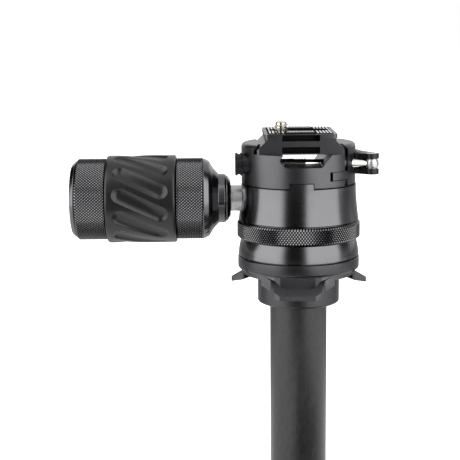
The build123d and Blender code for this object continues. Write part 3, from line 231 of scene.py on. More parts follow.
@dataclass(frozen=True)
class SurfaceFinish:
    """A surface of two mixed colours with a fine grain, such as a moulded rubber or plastic.

    The grain varies the roughness and lifts the surface very slightly, which breaks up the
    highlights as on a real part.
    """

    name: str
    colour: str
    worn: str
    roughness: float
    grain_mm: float
    relief_mm: float
    spread: float = 0.06
    detail: float = 4.0
    fineness: float = 0.65
    strength: float = 0.5
    span: tuple[float, float] = (0.3, 0.7)
    stretch: Corner = (1.0, 1.0, 1.0)
    cloud_mm: float = 6.0
    cloud_detail: float = 3.0
    metallic: float = 0.0
    specular: float = 0.5
    coat: float = 0.0
    coat_roughness: float = 0.12
    # Size of the fibre bundles that mix the two colours in place of soft clouds.
    bundle_mm: float = 0.0
    # Painted shade of a knurl's valleys: a colour from which it brightens to its points.
    valley_shade: str = ""
    point_power: float = 1.8

    def tint(
        self, tree: NodeTree, place: NodeSocket, stretched: NodeSocket, grain: NodeSocket
    ) -> NodeSocket:
        """Mixes the two colours, and paints shade into the valleys of a knurl.

        Args:
            tree: The material's node tree.
            place: Socket of the places.
            stretched: Socket of the places as the grain has them.
            grain: Socket of the grain.

        Returns:
            Socket of the colour.
        """
        if self.bundle_mm:
            bundle = add_node(
                tree, "ShaderNodeTexVoronoi", {"Vector": stretched},
                {"Scale": 1 / (self.bundle_mm * MM), "Randomness": 1.0},
            )
            share = maths(tree, "MULTIPLY", bundle.outputs["Distance"], grain)
        else:
            share = noise(tree, place, self.cloud_mm, self.cloud_detail)
        surface = blend(tree, share, self.colour, self.worn)
        if not self.valley_shade:
            return surface
        # The valleys get painted shade, lightening towards the points.
        point = add_node(tree, "ShaderNodeAttribute", attribute_name=POINT_LAYER)
        height = maths(tree, "POWER", point.outputs["Fac"], self.point_power)
        return blend(tree, height, self.valley_shade, surface)

    def build(self) -> Material:
        """Makes the material.

        Returns:
            The finished material.
        """
        material, shader = new_material(self.name)
        tree = material.node_tree
        place = add_node(tree, "ShaderNodeTexCoord").outputs["Object"]
        mapping = add_node(tree, "ShaderNodeMapping", {"Vector": place}, {"Scale": self.stretch})
        stretched = mapping.outputs["Vector"]
        grain = noise(tree, stretched, self.grain_mm, self.detail, self.fineness)
        rough = add_node(
            tree, "ShaderNodeMapRange", {"Value": grain},
            {
                "From Min": self.span[0], "From Max": self.span[1],
                "To Min": self.roughness - self.spread, "To Max": self.roughness + self.spread,
            },
        )
        bump = add_node(
            tree, "ShaderNodeBump", {"Height": grain},
            {"Strength": self.strength, "Distance": self.relief_mm * MM},
        )
        tree.links.new(self.tint(tree, place, stretched, grain), shader.inputs["Base Color"])
        tree.links.new(rough.outputs["Result"], shader.inputs["Roughness"])
        tree.links.new(bump.outputs["Normal"], shader.inputs["Normal"])
        shader.inputs["Metallic"].default_value = self.metallic
        shader.inputs["Specular IOR Level"].default_value = self.specular
        shader.inputs["Coat Weight"].default_value = self.coat
        shader.inputs["Coat Roughness"].default_value = self.coat_roughness
        return material


@dataclass(frozen=True)
class MetalFinish(SurfaceFinish):
    """A metal surface, with a grain for its blasting or turning marks.

    The grain is 0.2 to 0.4 mm. Blasting usually leaves about 0.1 mm, so it is coarser than
    real, and shows at the picture's size.
    """

    spread: float = 0.05
    detail: float = 3.0
    fineness: float = 0.6
    strength: float = 0.35
    cloud_mm: float = 9.0
    cloud_detail: float = 2.0
    metallic: float = 1.0


class Finish(Enum):
    """The finishes of the head, each with the recipe of its material."""

    # Turned and then finely blasted before black anodising: soft grey bands of light with a
    # very fine grain in them, and no colour.
    SATIN_ANODISED = MetalFinish(
        "satin_black_anodised_aluminium", "#58585a", "#606062",
        roughness=0.2, spread=0.03, grain_mm=0.25, relief_mm=0.002,
    )
    # The same turned aluminium under a deeper black, on the base plate and the collar: the
    # bands of light are dimmer and wider.
    DEEP_ANODISED = MetalFinish(
        "deep_black_anodised_aluminium", "#404042", "#474749",
        roughness=0.3, spread=0.04, grain_mm=0.3, relief_mm=0.003,
    )
    # Milled and blasted more coarsely than the turned parts, so its flat faces are an even
    # dark grey with a visible grain.
    BLASTED_ANODISED = MetalFinish(
        "blasted_black_anodised_aluminium", "#48484a", "#525254",
        roughness=0.33, grain_mm=0.4, relief_mm=0.006,
    )
    # Lobes of the collar, milled and blasted after turning: a wide, soft shine that keeps
    # them from going black.
    MILLED_ANODISED = MetalFinish(
        "milled_black_anodised_aluminium", "#505052", "#58585a",
        roughness=0.45, grain_mm=0.35, relief_mm=0.005,
    )
    # Painted shade on the walls of the plate's recesses and in the seam's groove, where no light
    # reaches: a near-black matt colour.
    RECESS_BLACK = MetalFinish(
        "painted_recess_shade", "#1a1a1c", "#202022",
        roughness=0.5, grain_mm=0.3, relief_mm=0.004,
    )
    # Rolled diamonds, anodised black: the points are a light grey, a painted highlight, over
    #     # valleys in near-black painted shade.
    KNURLED_ANODISED = MetalFinish(
        "knurled_black_anodised_aluminium", "#98989a", "#a4a4a6",
        roughness=0.2, spread=0.04, grain_mm=0.2, relief_mm=0.003, valley_shade="#030303",
    )
    # The same knurl on the handle, with painted shade in its valleys and a duller grey painted
    # highlight on its points.
    DEEP_KNURL = MetalFinish(
        "deep_knurled_black_anodised_aluminium", "#88888a", "#949496",
        roughness=0.22, spread=0.04, grain_mm=0.2, relief_mm=0.003, valley_shade="#030303",
    )
    # Bare lathe-cut aluminium inside the column: pale, with faint tool marks.
    MACHINED_ALUMINIUM = MetalFinish(
        "machined_aluminium", "#b4b5b6", "#a9aaab",
        roughness=0.32, grain_mm=0.3, relief_mm=0.006,
    )
    # Turned steel with its tool marks round the shaft: a broad pale shine.
    TURNED_STEEL = MetalFinish(
        "turned_bright_steel", "#bcbcbd", "#acacae", roughness=0.36, spread=0.01,
        grain_mm=0.25, relief_mm=0.0001, stretch=(6.0, 0.3, 0.3),
    )
    # Ground and polished rod: sharp bright and dark stripes.
    POLISHED_STEEL = MetalFinish(
        "polished_steel", "#d6d4ce", "#cbc8c0",
        roughness=0.14, spread=0.03, grain_mm=0.3, relief_mm=0.002,
    )
    # Cast and black-oxidised steel of the lever and the screws: dull, slightly mottled.
    BLACK_STEEL = MetalFinish(
        "black_oxide_steel", "#2e2e30", "#37373a",
        roughness=0.38, grain_mm=0.25, relief_mm=0.005,
    )
    # Nickel plate on the camera screw: slightly warm pale metal with a soft shine.
    NICKEL_STEEL = MetalFinish(
        "nickel_plated_screw_steel", "#c2bfb6", "#aaa79d",
        roughness=0.2, grain_mm=0.3, relief_mm=0.004,
    )
    # Pressed bronze of the hidden bearing: brown and porous.
    BRONZE = MetalFinish(
        "sintered_bronze", "#8f6b43", "#7c5c39", roughness=0.42, grain_mm=0.3, relief_mm=0.01
    )
    # Moulded rubber of the grip: nearly black with a soft sheen, which the flutes turn into
    # light and dark stripes.
    GRIP_RUBBER = SurfaceFinish(
        "moulded_grip_rubber", "#0c0c0d", "#111112",
        roughness=0.32, grain_mm=0.35, relief_mm=0.008, specular=0.42,
    )
    # Moulded rubber in the grooves of the pad: dull black that gives no light back.
    PAD_RUBBER = SurfaceFinish(
        "ribbed_pad_rubber", "#0b0b0c", "#111112",
        roughness=0.85, grain_mm=0.3, relief_mm=0.006, specular=0.05,
    )
    # Tops of the pad's ribs, pressed smooth by cameras: seen from low down they mirror the
    # white background in bright stripes.
    RUBBED_RUBBER = SurfaceFinish(
        "rubbed_pad_rubber", "#2a2a2b", "#333334",
        roughness=0.16, grain_mm=0.3, relief_mm=0.002, specular=0.9, coat=1.0,
    )
    # Hidden slippery plastic of the tilt bearing: off-white and waxy.
    SLIP_PLASTIC = SurfaceFinish(
        "slippery_liner_plastic", "#c9c9c4", "#bdbdb8",
        roughness=0.4, grain_mm=0.4, relief_mm=0.01,
    )
    # Matt carbon tube: near black, with a faint mottle that breaks up its one band of light.
    CARBON = SurfaceFinish(
        "matt_carbon_tube", "#121214", "#2a2a2c", roughness=0.3, grain_mm=0.5, relief_mm=0.014,
        fineness=0.5, strength=0.3, span=(0.0, 1.0), stretch=(1.0, 1.0, 0.45), bundle_mm=1.6,
    )

    def material(self) -> Material:
        """Gives the finish's material, made on first use."""
        found = bpy.data.materials.get(self.value.name)
        return found or self.value.build()


def rounded(corners: Sequence[Corner], steps: int = 5) -> Profile:
    """Rounds the corners of an outline.

    Args:
        corners: Corners, each with its coordinates and the radius of its rounding.
        steps: Number of short runs in each rounding.

    Returns:
        The outline's points.
    """
    longest = 0.49  # share of a side that one rounding may take
    outline: Profile = []
    for index, (a, b, radius) in enumerate(corners):
        if radius <= 0 or index in (0, len(corners) - 1):
            outline.append((a, b))
            continue
        corner = Vector((a, b))
        before = Vector(corners[index - 1][:2]) - corner
        after = Vector(corners[index + 1][:2]) - corner
        half = before.angle(after) / 2
        reach = min(radius / math.tan(half), before.length * longest, after.length * longest)
        start = corner + before.normalized() * reach
        end = corner + after.normalized() * reach
        for step in range(steps + 1):
            share = step / steps
            first = start.lerp(corner, share)
            second = corner.lerp(end, share)
            outline.append(tuple(first.lerp(second, share)))
    return outline


def finished_object(name: str, bm: BMesh, sharp: float = 35.0) -> Object:
    """Turns a bmesh into a smooth-shaded object with sharp creases.

    Args:
        name: Name of the object and of its mesh.
        bm: The bmesh, which is freed.
        sharp: Angle in degrees past which an edge stays sharp.

    Returns:
        The object, linked to the scene.
    """
    mesh = bpy.data.meshes.new(name)
    bm.to_mesh(mesh)
    bm.free()
    for face in mesh.polygons:
        face.use_smooth = True
    mesh.set_sharp_from_angle(angle=math.radians(sharp))
    piece = bpy.data.objects.new(name, mesh)
    bpy.context.scene.collection.objects.link(piece)
    return piece


def spun_mesh(
    profile: Profile, turning: Turning, height: float = 0.0, steps: int = 144,
    closed: bool = True,
) -> BMesh:
    """Spins an outline into a solid of revolution.

    Args:
        profile: Outline in millimetres: radius and height about the column, or place along X
            and radius about the handle.
        turning: Axis of the spin.
        height: Height of the handle's axis in millimetres.
        steps: Number of steps round the axis.
        closed: Whether the outline's ends are joined.

    Returns:
        The closed mesh, in metres.
    """
    bm = bmesh.new()
    verts = []
    for a, b in profile:
        place = (a, 0, b) if turning is Turning.COLUMN else (a, 0, height + b)
        verts.append(bm.verts.new(Vector(place) * MM))
    edges = [bm.edges.new(pair) for pair in zip(verts, verts[1:])]
    if closed:
        edges.append(bm.edges.new((verts[-1], verts[0])))
    axis = (0, 0, 1) if turning is Turning.COLUMN else (1, 0, 0)
    bmesh.ops.spin(
        bm, geom=verts + edges, cent=(0, 0, height * MM), axis=axis,
        angle=math.tau, steps=steps, use_merge=True, use_duplicate=False,
    )
    bmesh.ops.remove_doubles(bm, verts=bm.verts, dist=WELD)
    bmesh.ops.dissolve_degenerate(bm, edges=bm.edges, dist=WELD / 10)
    bmesh.ops.recalc_face_normals(bm, faces=bm.faces)
    return bm


def turned(
    name: str, outline: Sequence[Corner], turning: Turning = Turning.COLUMN,
    height: float = 0.0, steps: int = 144,
) -> Object:
    """Models a plain turned part.

    Args:
        name: Name of the part.
        outline: Corners of its outline, as rounded() takes them.
        turning: Axis of the spin.
        height: Height of the handle's axis in millimetres.
        steps: Number of steps round the axis.

    Returns:
        The part.
    """
    return finished_object(name, spun_mesh(rounded(outline), turning, height, steps))


@dataclass
class Knurl:
    """A diamond knurl cut in a round band.

    Peaks and valleys alternate over a grid of cells, and each cell is folded along its valley,
    so every diamond is a four-sided point. Round the part the diamonds are two cells or about
    1.3 mm apart, coarser than the real 0.9 mm, so that they show at the picture's size.
    """

    cells_round: int
    cell: float
    depth: float

    def band(self, low: float, high: float, radius: float) -> Profile:
        """Gives the band's part of a profile.

        Args:
            low: Where the band starts along the axis.
            high: Where it ends.
            radius: Radius of its points.

        Returns:
            Points from low to high, as place along the axis and radius.
        """
        count = max(2, round((high - low) / self.cell))
        return [(low + (high - low) * index / count, radius) for index in range(count + 1)]

    def cut(self, bm: BMesh, band: Profile, turning: Turning, height: float) -> None:
        """Presses the valleys of one band into a spun mesh.

        Args:
            bm: The spun mesh.
            band: The band's points, as given by band().
            turning: Axis of the part.
            height: Height of the handle's axis in millimetres.
        """
        low, radius = band[0]
        rows = len(band) - 1
        cell = (band[-1][0] - low) / rows
        step = math.tau / self.cells_round
        scale = (radius - self.depth) / radius
        valleys = []
        point = bm.verts.layers.float.get(POINT_LAYER) or bm.verts.layers.float.new(POINT_LAYER)
        for vert in bm.verts:
            x, y, z = vert.co / MM
            if turning is Turning.COLUMN:
                along, u, v = z, x, y
            else:
                along, u, v = x, z - height, y
            row = (along - low) / cell
            if abs(math.hypot(u, v) - radius) > NEAR or not -NEAR <= row <= rows + NEAR:
                continue
            column = round(math.atan2(v, u) / step)
            # Points get one and valleys nought, which places the painted shade of the valleys.
            vert[point] = 1.0
            if (round(row) + column) % 2:
                valleys.append(vert)
                vert[point] = 0.0
                if turning is Turning.COLUMN:
                    vert.co = Vector((x * scale, y * scale, z)) * MM
                else:
                    vert.co = Vector((x, y * scale, height + (z - height) * scale)) * MM
        bmesh.ops.connect_verts(bm, verts=valleys)


def dress(piece: Object, finish: Finish, body: str, *nodes: str) -> Object:
    """Gives a piece its finish and its body, and hides the nodes that it stands for.

    Args:
        piece: The modelled piece.
        finish: Its finish.
        body: Body that it rides on.
        *nodes: Nodes that it replaces.

    Returns:
        The same piece.
    """
    piece.data.materials.clear()
    piece.data.materials.append(finish.material())
    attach(piece, body)
    if nodes:
        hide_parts(*nodes)
    LOG.info("%s rides on %s for %s", piece.name, body, ", ".join(nodes) or "itself")
    return piece


def coat(piece: Object, finish: Finish, covers: Callable[[Vector, Vector], bool]) -> None:
    """Gives some of a piece's faces a second finish.

    Args:
        piece: The piece, already dressed.
        finish: The second finish.
        covers: Says whether a face gets it, from its middle in millimetres and its normal.
    """
    piece.data.materials.append(finish.material())
    for face in piece.data.polygons:
        if covers(face.center / MM, face.normal):
            face.material_index = 1


@dataclass
class RoundedCopy:
    """A copy of a node's solid with its edges broken, as a deburred part has."""

    frame: dict
    width: float = 0.18
    angle: float = 28.0
    flat_angle: float = 0.6

    def merged(self, node: str) -> BMesh:
        """Copies one node's mesh, with its doubles merged and its flat faces whole.

        Args:
            node: Node to copy.

        Returns:
            The copy.
        """
        bm = bmesh.new()
        bm.from_mesh(self.frame["nodes"][node].data)
        bmesh.ops.remove_doubles(bm, verts=bm.verts, dist=2 * WELD)
        bmesh.ops.dissolve_limit(
            bm, angle_limit=math.radians(self.flat_angle), verts=bm.verts, edges=bm.edges,
            delimit={"NORMAL"},
        )
        return bm

    def make(self, node: str, body: str, finish: Finish, width: float | None = None) -> Object:
        """Copies, merges and bevels one node.

        Args:
            node: Node to copy.
            body: Body that it rides on.
            finish: Its finish.
            width: Width of the broken edges in millimetres.

        Returns:
            The piece, which replaces the node.
        """
        piece = finished_object(f"{node}_finished", self.merged(node), self.angle)
        bevel = piece.modifiers.new("broken_edges", "BEVEL")
        bevel.width = (width or self.width) * MM
        bevel.segments = 2
        bevel.limit_method = "ANGLE"
        bevel.angle_limit = math.radians(self.angle)
        bevel.harden_normals = True
        bevel.use_clamp_overlap = True
        return dress(piece, finish, body, node)

    def true_up(self, piece: Object, radius: float) -> None:
        """Fixes a piece's bevels in its mesh and points its round wall's normals outwards.

        The wall's long facets would otherwise show as streaks.

        Args:
            piece: A rounded copy.
            radius: Radius of the round wall about the column in millimetres.
        """
        steepest = 0.98  # cosine of the most that the wall's facets turn from outwards
        graph = bpy.context.evaluated_depsgraph_get()
        mesh = bpy.data.meshes.new_from_object(piece.evaluated_get(graph), depsgraph=graph)
        piece.modifiers.clear()
        piece.data = mesh
        normals = [Vector(corner.vector) for corner in mesh.corner_normals]
        for face in mesh.polygons:
            outward = Vector((face.center.x, face.center.y, 0)).normalized()
            if face.normal.dot(outward) < steepest:
                continue
            for loop in face.loop_indices:
                spot = mesh.vertices[mesh.loops[loop].vertex_index].co
                if abs(math.hypot(spot.x, spot.y) / MM - radius) < 3 * NEAR:
                    normals[loop] = Vector((spot.x, spot.y, 0)).normalized()
        mesh.normals_split_custom_set(normals)


@dataclass
class SubAssembly:
    """A part of the head that builds and dresses its own pieces."""

    copies: RoundedCopy


@dataclass
class Column(SubAssembly):
    """The column with its collar, base plate and half ball."""

    ball_r: float = 27.3
    ball_z: float = 21.0
    ball_low: float = 21.5
    ball_top: float = 36.0
    ball_inner: float = 23.3
    groove_high: float = 0.65
    groove_deep: float = 1.5
    collar_r: float = 18.6
    collar_edge: float = 0.4
    steps: int = 192
    # Outlines of the tube and of the base plate with its rolled lower edge: radius, height
    # and rounding.
    tube: tuple[Corner, ...] = (
        (11.5, -92.0, 0), (13.0, -92.0, 0), (13.0, 0.0, 0), (12.5, 0.0, 0), (12.5, 9.4, 0),
        (11.5, 9.4, 0),
    )
    plate: tuple[Corner, ...] = (
        (4.0, 18.9, 0), (4.0, 15.9, 0), (27.5, 15.9, 1.3), (27.5, 21.2, 0.1),
        (27.15, 21.45, 0.1), (26.5, 21.5, 0), (23.7, 21.5, 0), (23.7, 18.9, 0),
    )

    def zone(self, radius: float, low: float, high: float, runs: int) -> Profile:
        """Gives a run of points on a sphere about the ball's middle.

        Args:
            radius: Radius of the sphere.
            low: Height of the first point.
            high: Height of the last point.
            runs: Number of short runs between them.

        Returns:
            The points, as radius and height.
        """
        start = math.asin((low - self.ball_z) / radius)
        end = math.asin((high - self.ball_z) / radius)
        angles = [start + (end - start) * index / runs for index in range(runs + 1)]
        return [(radius * math.cos(t), self.ball_z + radius * math.sin(t)) for t in angles]

    def ball(self) -> Object:
        """Models the visible zone of the half ball, over a dark groove."""
        groove_r = self.ball_r - self.groove_deep
        lip = self.ball_low + self.groove_high
        profile = [(groove_r, self.ball_low), (groove_r, lip)]
        profile += self.zone(self.ball_r, lip, self.ball_top, 24)
        profile += self.zone(self.ball_inner, self.ball_top, self.ball_low, 12)
        bm = spun_mesh(profile, Turning.COLUMN, steps=self.steps)
        return finished_object("half_ball_turned", bm)

    def build(self) -> None:
        """Builds and dresses the pieces of the column."""
        dress(turned("carbon_tube", self.tube), Finish.CARBON, "base", "centre_column")
        plate = turned("base_plate_turned", self.plate, steps=self.steps)
        dress(plate, Finish.DEEP_ANODISED, "base", "base_plate")
        dress(self.ball(), Finish.SATIN_ANODISED, "base", "half_ball")
        make = self.copies.make
        collar = make("hook_collar", "base", Finish.DEEP_ANODISED, self.collar_edge)
        self.copies.true_up(collar, self.collar_r)
        lobe_start = self.collar_r + self.collar_edge
        coat(
            collar, Finish.MILLED_ANODISED,
            lambda spot, normal: math.hypot(spot.x, spot.y) > lobe_start,
        )
        make("column_plug", "base", Finish.MACHINED_ALUMINIUM)
        make("collar_grub_screws", "base", Finish.BLACK_STEEL, 0.1)


@dataclass
class Housing(SubAssembly):
    """The bell housing with its index tab and the knurled pan ring under it."""

    foot_r: float = 27.1
    foot_z: float = 38.1
    foot_edge: float = 0.35
    top_r: float = 25.8
    top_z: float = 54.7
    flare_gap: float = 0.5
    flare_power: float = 1.75
    flare_runs: int = 24
    groove_high: float = 0.6
    groove_deep: float = 1.3
    ring_r: float = 27.8
    ring_inner: float = 26.35
    ring_low: float = 29.9
    ring_high: float = 37.8
    ring_chamfer: float = 1.0
    tab_half: float = 5.0
    tab_high: float = 2.1
    tab_depth: float = 3.0
    tab_corner: float = 0.25
    body_r: float = 25.7
    # Outline of the bell below its flare, and from the groove over it to the inside of its
    # skirt: radius and height.
    skirt: tuple[tuple[float, float], ...] = ((26.3, 34.5), (26.3, 38.1), (26.75, 38.1))
    inside: tuple[tuple[float, float], ...] = (
        (25.8, 54.1), (24.5, 54.15), (24.5, 54.7), (10.0, 54.7), (10.0, 42.2), (20.5, 42.2),
        (20.5, 40.0), (25.15, 40.0), (25.15, 34.5),
    )

    def flare(self) -> Profile:
        """Gives the outer curve of the bell from its foot to its top, as radius and height."""
        points: Profile = []
        low = self.foot_z + self.foot_edge
        rise = self.top_z - self.flare_gap - low
        for index in range(self.flare_runs + 1):
            share = index / self.flare_runs
            swell = (1 - share) ** self.flare_power
            points.append((self.top_r + (self.foot_r - self.top_r) * swell, low + rise * share))
        return points

    def bell(self) -> Object:
        """Models the flared housing as one turned shell, with a groove under the clamp."""
        profile = [*self.skirt, *self.flare(), *self.inside]
        return finished_object("bell_turned", spun_mesh(profile, Turning.COLUMN, steps=192))

    def tab(self) -> Object:
        """Models the index tab that stands in the clamp body's notch."""
        bm = bmesh.new()
        bmesh.ops.create_cube(bm, size=1.0)
        low = self.top_z - self.groove_high
        high = self.top_z + self.tab_high
        size = Vector((self.tab_half * 2, self.tab_depth, high - low)) * MM
        middle = Vector((0, -self.body_r + self.tab_depth / 2, (low + high) / 2)) * MM
        bmesh.ops.transform(bm, matrix=Matrix.LocRotScale(middle, None, size), verts=bm.verts)
        cuts = [edge for edge in bm.edges if abs(edge.verts[0].co.x - edge.verts[1].co.x) > MM]
        bmesh.ops.subdivide_edges(bm, edges=cuts, cuts=12, use_grid_fill=True)
        for vert in bm.verts:
            if vert.co.y < middle.y:
                vert.co.y = -math.sqrt((self.body_r * MM) ** 2 - vert.co.x**2)
        corners = [
            edge for edge in bm.edges
            if all(abs(abs(v.co.x) - self.tab_half * MM) < WELD for v in edge.verts)
            and all(v.co.z > middle.z for v in edge.verts)
        ]
        bmesh.ops.bevel(
            bm, geom=corners, offset=self.tab_corner * MM, segments=3, profile=0.5,
            affect="EDGES", material=-1,
        )
        bmesh.ops.recalc_face_normals(bm, faces=bm.faces)
        return finished_object("index_tab", bm)

    def ring(self) -> Object:
        """Models the pan ring with its diamond knurl."""
        knurl = Knurl(cells_round=272, cell=0.86, depth=0.32)
        low = self.ring_low + self.ring_chamfer
        high = self.ring_high - self.ring_chamfer
        band = knurl.band(low, high, self.ring_r)
        inset = self.ring_r - self.ring_chamfer
        profile = [(inset, self.ring_low)]
        profile += [(radius, along) for along, radius in band]
        profile += [(inset, self.ring_high), (self.ring_inner, self.ring_high)]
        profile.append((self.ring_inner, self.ring_low))
        bm = spun_mesh(profile, Turning.COLUMN, steps=knurl.cells_round)
        knurl.cut(bm, band, Turning.COLUMN, 0)
        return finished_object("pan_ring_knurled", bm, 15)

    def build(self) -> None:
        """Builds and dresses the housing and its ring."""
        bell = dress(self.bell(), Finish.SATIN_ANODISED, "head", "bell_housing")
        groove_z = self.top_z - self.groove_high
        groove_r = self.top_r - 2 * self.groove_deep
        # The groove under the clamp gets painted shade on its walls.
        coat(
            bell, Finish.RECESS_BLACK,
            lambda spot, normal: spot.z > groove_z and math.hypot(spot.x, spot.y) > groove_r,
        )
        dress(self.tab(), Finish.SATIN_ANODISED, "head")
        dress(self.ring(), Finish.KNURLED_ANODISED, "lock_ring", "pan_lock_ring")
        self.copies.make("shaft_bushing", "head", Finish.BLACK_STEEL, 0.2)


@dataclass
class GripHandle(SubAssembly):
    """The twist handle: knurled barrel, fluted rubber sleeve, cone, shaft and end cap."""

    axis_z: float = 47.65
    knurl_r: float = 18.3
    left: float = -99.9
    right: float = -42.9
    bore_r: float = 5.0
    bevel: float = 1.1
    band_drop: float = 0.4
    band_gap: float = 0.6
    band_end: float = 0.5
    sleeve_left: float = -86.0
    sleeve_right: float = -55.0
    sleeve_r: float = 19.7
    sleeve_lip: float = 1.1
    sleeve_plain: float = 3.0
    sleeve_gap: float = 0.2
    sleeve_rows: int = 110
    sleeve_steps: int = 432
    core_r: float = 16.4
    flutes: int = 12
    flute_half: float = 3.4
    flute_depth: float = 1.2
    flute_span: float = 17.7
    flute_twist: float = 25.0
    flute_power: float = 2.6
    # Outlines of the cone with its neck and nose, and of the end cap with the seat of its
    # screw: place, radius and rounding.
    cone: tuple[Corner, ...] = (
        (-42.9, 5.0, 0), (-42.9, 18.0, 0), (-42.4, 18.0, 0.2), (-40.3, 16.85, 0.5),
        (-38.6, 13.9, 1.2), (-36.1, 11.1, 0.4), (-33.3, 11.0, 0.35), (-32.9, 10.7, 0.2),
        (-32.6, 10.2, 0.2), (-32.2, 10.3, 0.2), (-30.65, 7.9, 0.3), (-30.65, 5.0, 0),
    )
    cap: tuple[Corner, ...] = (
        (-99.9, 5.0, 0), (-98.8, 5.0, 0), (-98.8, 4.6, 0), (-101.8, 4.6, 0.3),
        (-101.8, 15.7, 0.5), (-100.1, 17.2, 0.2), (-99.9, 17.1, 0),
    )

    def barrel(self) -> Object:
        """Models the barrel with a knurled band each side of the sleeve."""
        knurl = Knurl(cells_round=176, cell=0.72, depth=0.3)
        first = knurl.band(self.left + self.bevel, self.sleeve_left - self.band_gap, self.knurl_r)
        start, end = self.sleeve_right + self.band_gap, self.right - self.band_end
        second = knurl.band(start, end, self.knurl_r)
        edge_r = self.knurl_r - self.band_drop
        seat_left = self.sleeve_left - self.sleeve_gap
        seat_right = self.sleeve_right + self.sleeve_gap
        profile = [
            (self.left, self.bore_r), (self.left, self.knurl_r - self.bevel), *first,
            (seat_left, edge_r), (seat_left, self.core_r),
            (seat_right, self.core_r), (seat_right, edge_r), *second,
            (self.right, edge_r), (self.right, self.bore_r),
        ]
        bm = spun_mesh(profile, Turning.HANDLE, self.axis_z, knurl.cells_round)
        for band in (first, second):
            knurl.cut(bm, band, Turning.HANDLE, self.axis_z)
        return finished_object("barrel_knurled", bm, 25)

    def flute_dip(self, along: float, angle: float) -> float:
        """Gives how deep the sleeve's surface is pressed in at a place.

        Args:
            along: Distance along the handle from the middle of the sleeve.
            angle: Angle round the handle in radians.

        Returns:
            The depth in millimetres.
        """
        pitch = math.tau / self.flutes
        half_span = self.flute_span / 2
        half_twist = math.radians(self.flute_twist) / 2
        start = Vector((-half_span, -half_twist * self.sleeve_r))
        end = Vector((half_span, half_twist * self.sleeve_r))
        run = end - start
        best = self.flute_half
        for turn in (-1, 0, 1):
            offset = (angle + pitch / 2) % pitch - pitch / 2 + turn * pitch
            place = Vector((along, offset * self.sleeve_r))
            share = min(1.0, max(0.0, (place - start).dot(run) / run.length_squared))
            best = min(best, (place - start - run * share).length)
        edge = best / self.flute_half
        return self.flute_depth * (1 - edge**self.flute_power)

    def sleeve(self) -> Object:
        """Models the rubber sleeve and presses its slanted flutes in."""
        low = self.sleeve_left + self.sleeve_plain
        high = self.sleeve_right - self.sleeve_plain
        profile = rounded([
            (self.sleeve_left, self.core_r, 0), (self.sleeve_left, self.sleeve_r, self.sleeve_lip),
            (low, self.sleeve_r, 0),
        ])
        step = (high - low) / self.sleeve_rows
        profile += [(low + step * index, self.sleeve_r) for index in range(1, self.sleeve_rows)]
        profile += rounded([
            (high, self.sleeve_r, 0), (self.sleeve_right, self.sleeve_r, self.sleeve_lip),
            (self.sleeve_right, self.core_r, 0),
        ])
        bm = spun_mesh(profile, Turning.HANDLE, self.axis_z, self.sleeve_steps)
        middle = (self.sleeve_left + self.sleeve_right) / 2
        for vert in bm.verts:
            x, y, z = vert.co / MM
            rise = z - self.axis_z
            radius = math.hypot(y, rise)
            if radius < self.sleeve_r - NEAR:
                continue
            dip = self.flute_dip(x - middle, math.atan2(rise, y))
            scale = (radius - dip) / radius
            vert.co = Vector((x, y * scale, self.axis_z + rise * scale)) * MM
        return finished_object("rubber_sleeve_fluted", bm, 80)

    def build(self) -> None:
        """Builds and dresses the handle."""
        dress(self.barrel(), Finish.DEEP_KNURL, "handle", "handle_barrel")
        dress(self.sleeve(), Finish.GRIP_RUBBER, "handle", "rubber_sleeve")
        for name, outline, node in (
            ("cone_turned", self.cone, "handle_cone"), ("end_cap_turned", self.cap, "end_cap"),
        ):
            piece = turned(name, outline, Turning.HANDLE, self.axis_z, 160)
            dress(piece, Finish.SATIN_ANODISED, "handle", node)
        self.copies.make("handle_shaft", "handle", Finish.TURNED_STEEL, 0.2)
        self.copies.make("end_cap_screw", "handle", Finish.BLACK_STEEL, 0.2)


@dataclass
class Clamp(SubAssembly):
    """The clamp body, jaw, lever, draw rod and tension nut."""

    pin_x: float = 31.9
    pin_y: float = -8.5
    body_r: float = 25.7
    body_edge: float = 0.35
    # Outline of the lever's cross pin with its crown: radius, height and rounding.
    pin: tuple[Corner, ...] = (
        (0.0, 59.1, 0), (2.5, 59.1, 0.25), (2.5, 61.5, 0), (3.05, 62.6, 0.7), (3.17, 63.7, 0.9),
        (3.05, 64.8, 0.7), (2.5, 65.9, 0), (2.5, 68.3, 0.25), (0.0, 68.3, 0),
    )

    def barrel(self) -> Object:
        """Models the lever's cross pin, with a ball-like crown between the ears."""
        bm = spun_mesh(rounded(self.pin), Turning.COLUMN, steps=48, closed=False)
        bmesh.ops.translate(bm, verts=bm.verts, vec=Vector((self.pin_x, self.pin_y, 0)) * MM)
        return finished_object("lever_barrel_crowned", bm)

    def build(self) -> None:
        """Builds and dresses the clamp."""
        make = self.copies.make
        for node, body in (("clamp_body", "head"), ("movable_jaw", "jaw")):
            piece = make(node, body, Finish.BLASTED_ANODISED, self.body_edge)
            self.copies.true_up(piece, self.body_r)
        make("clamp_lever", "lever", Finish.BLACK_STEEL, 0.3)
        make("tension_nut", "tensioner", Finish.BLACK_STEEL, 0.12)
        make("draw_rod", "head", Finish.POLISHED_STEEL, 0.12)
        dress(self.barrel(), Finish.TURNED_STEEL, "head", "lever_barrel")


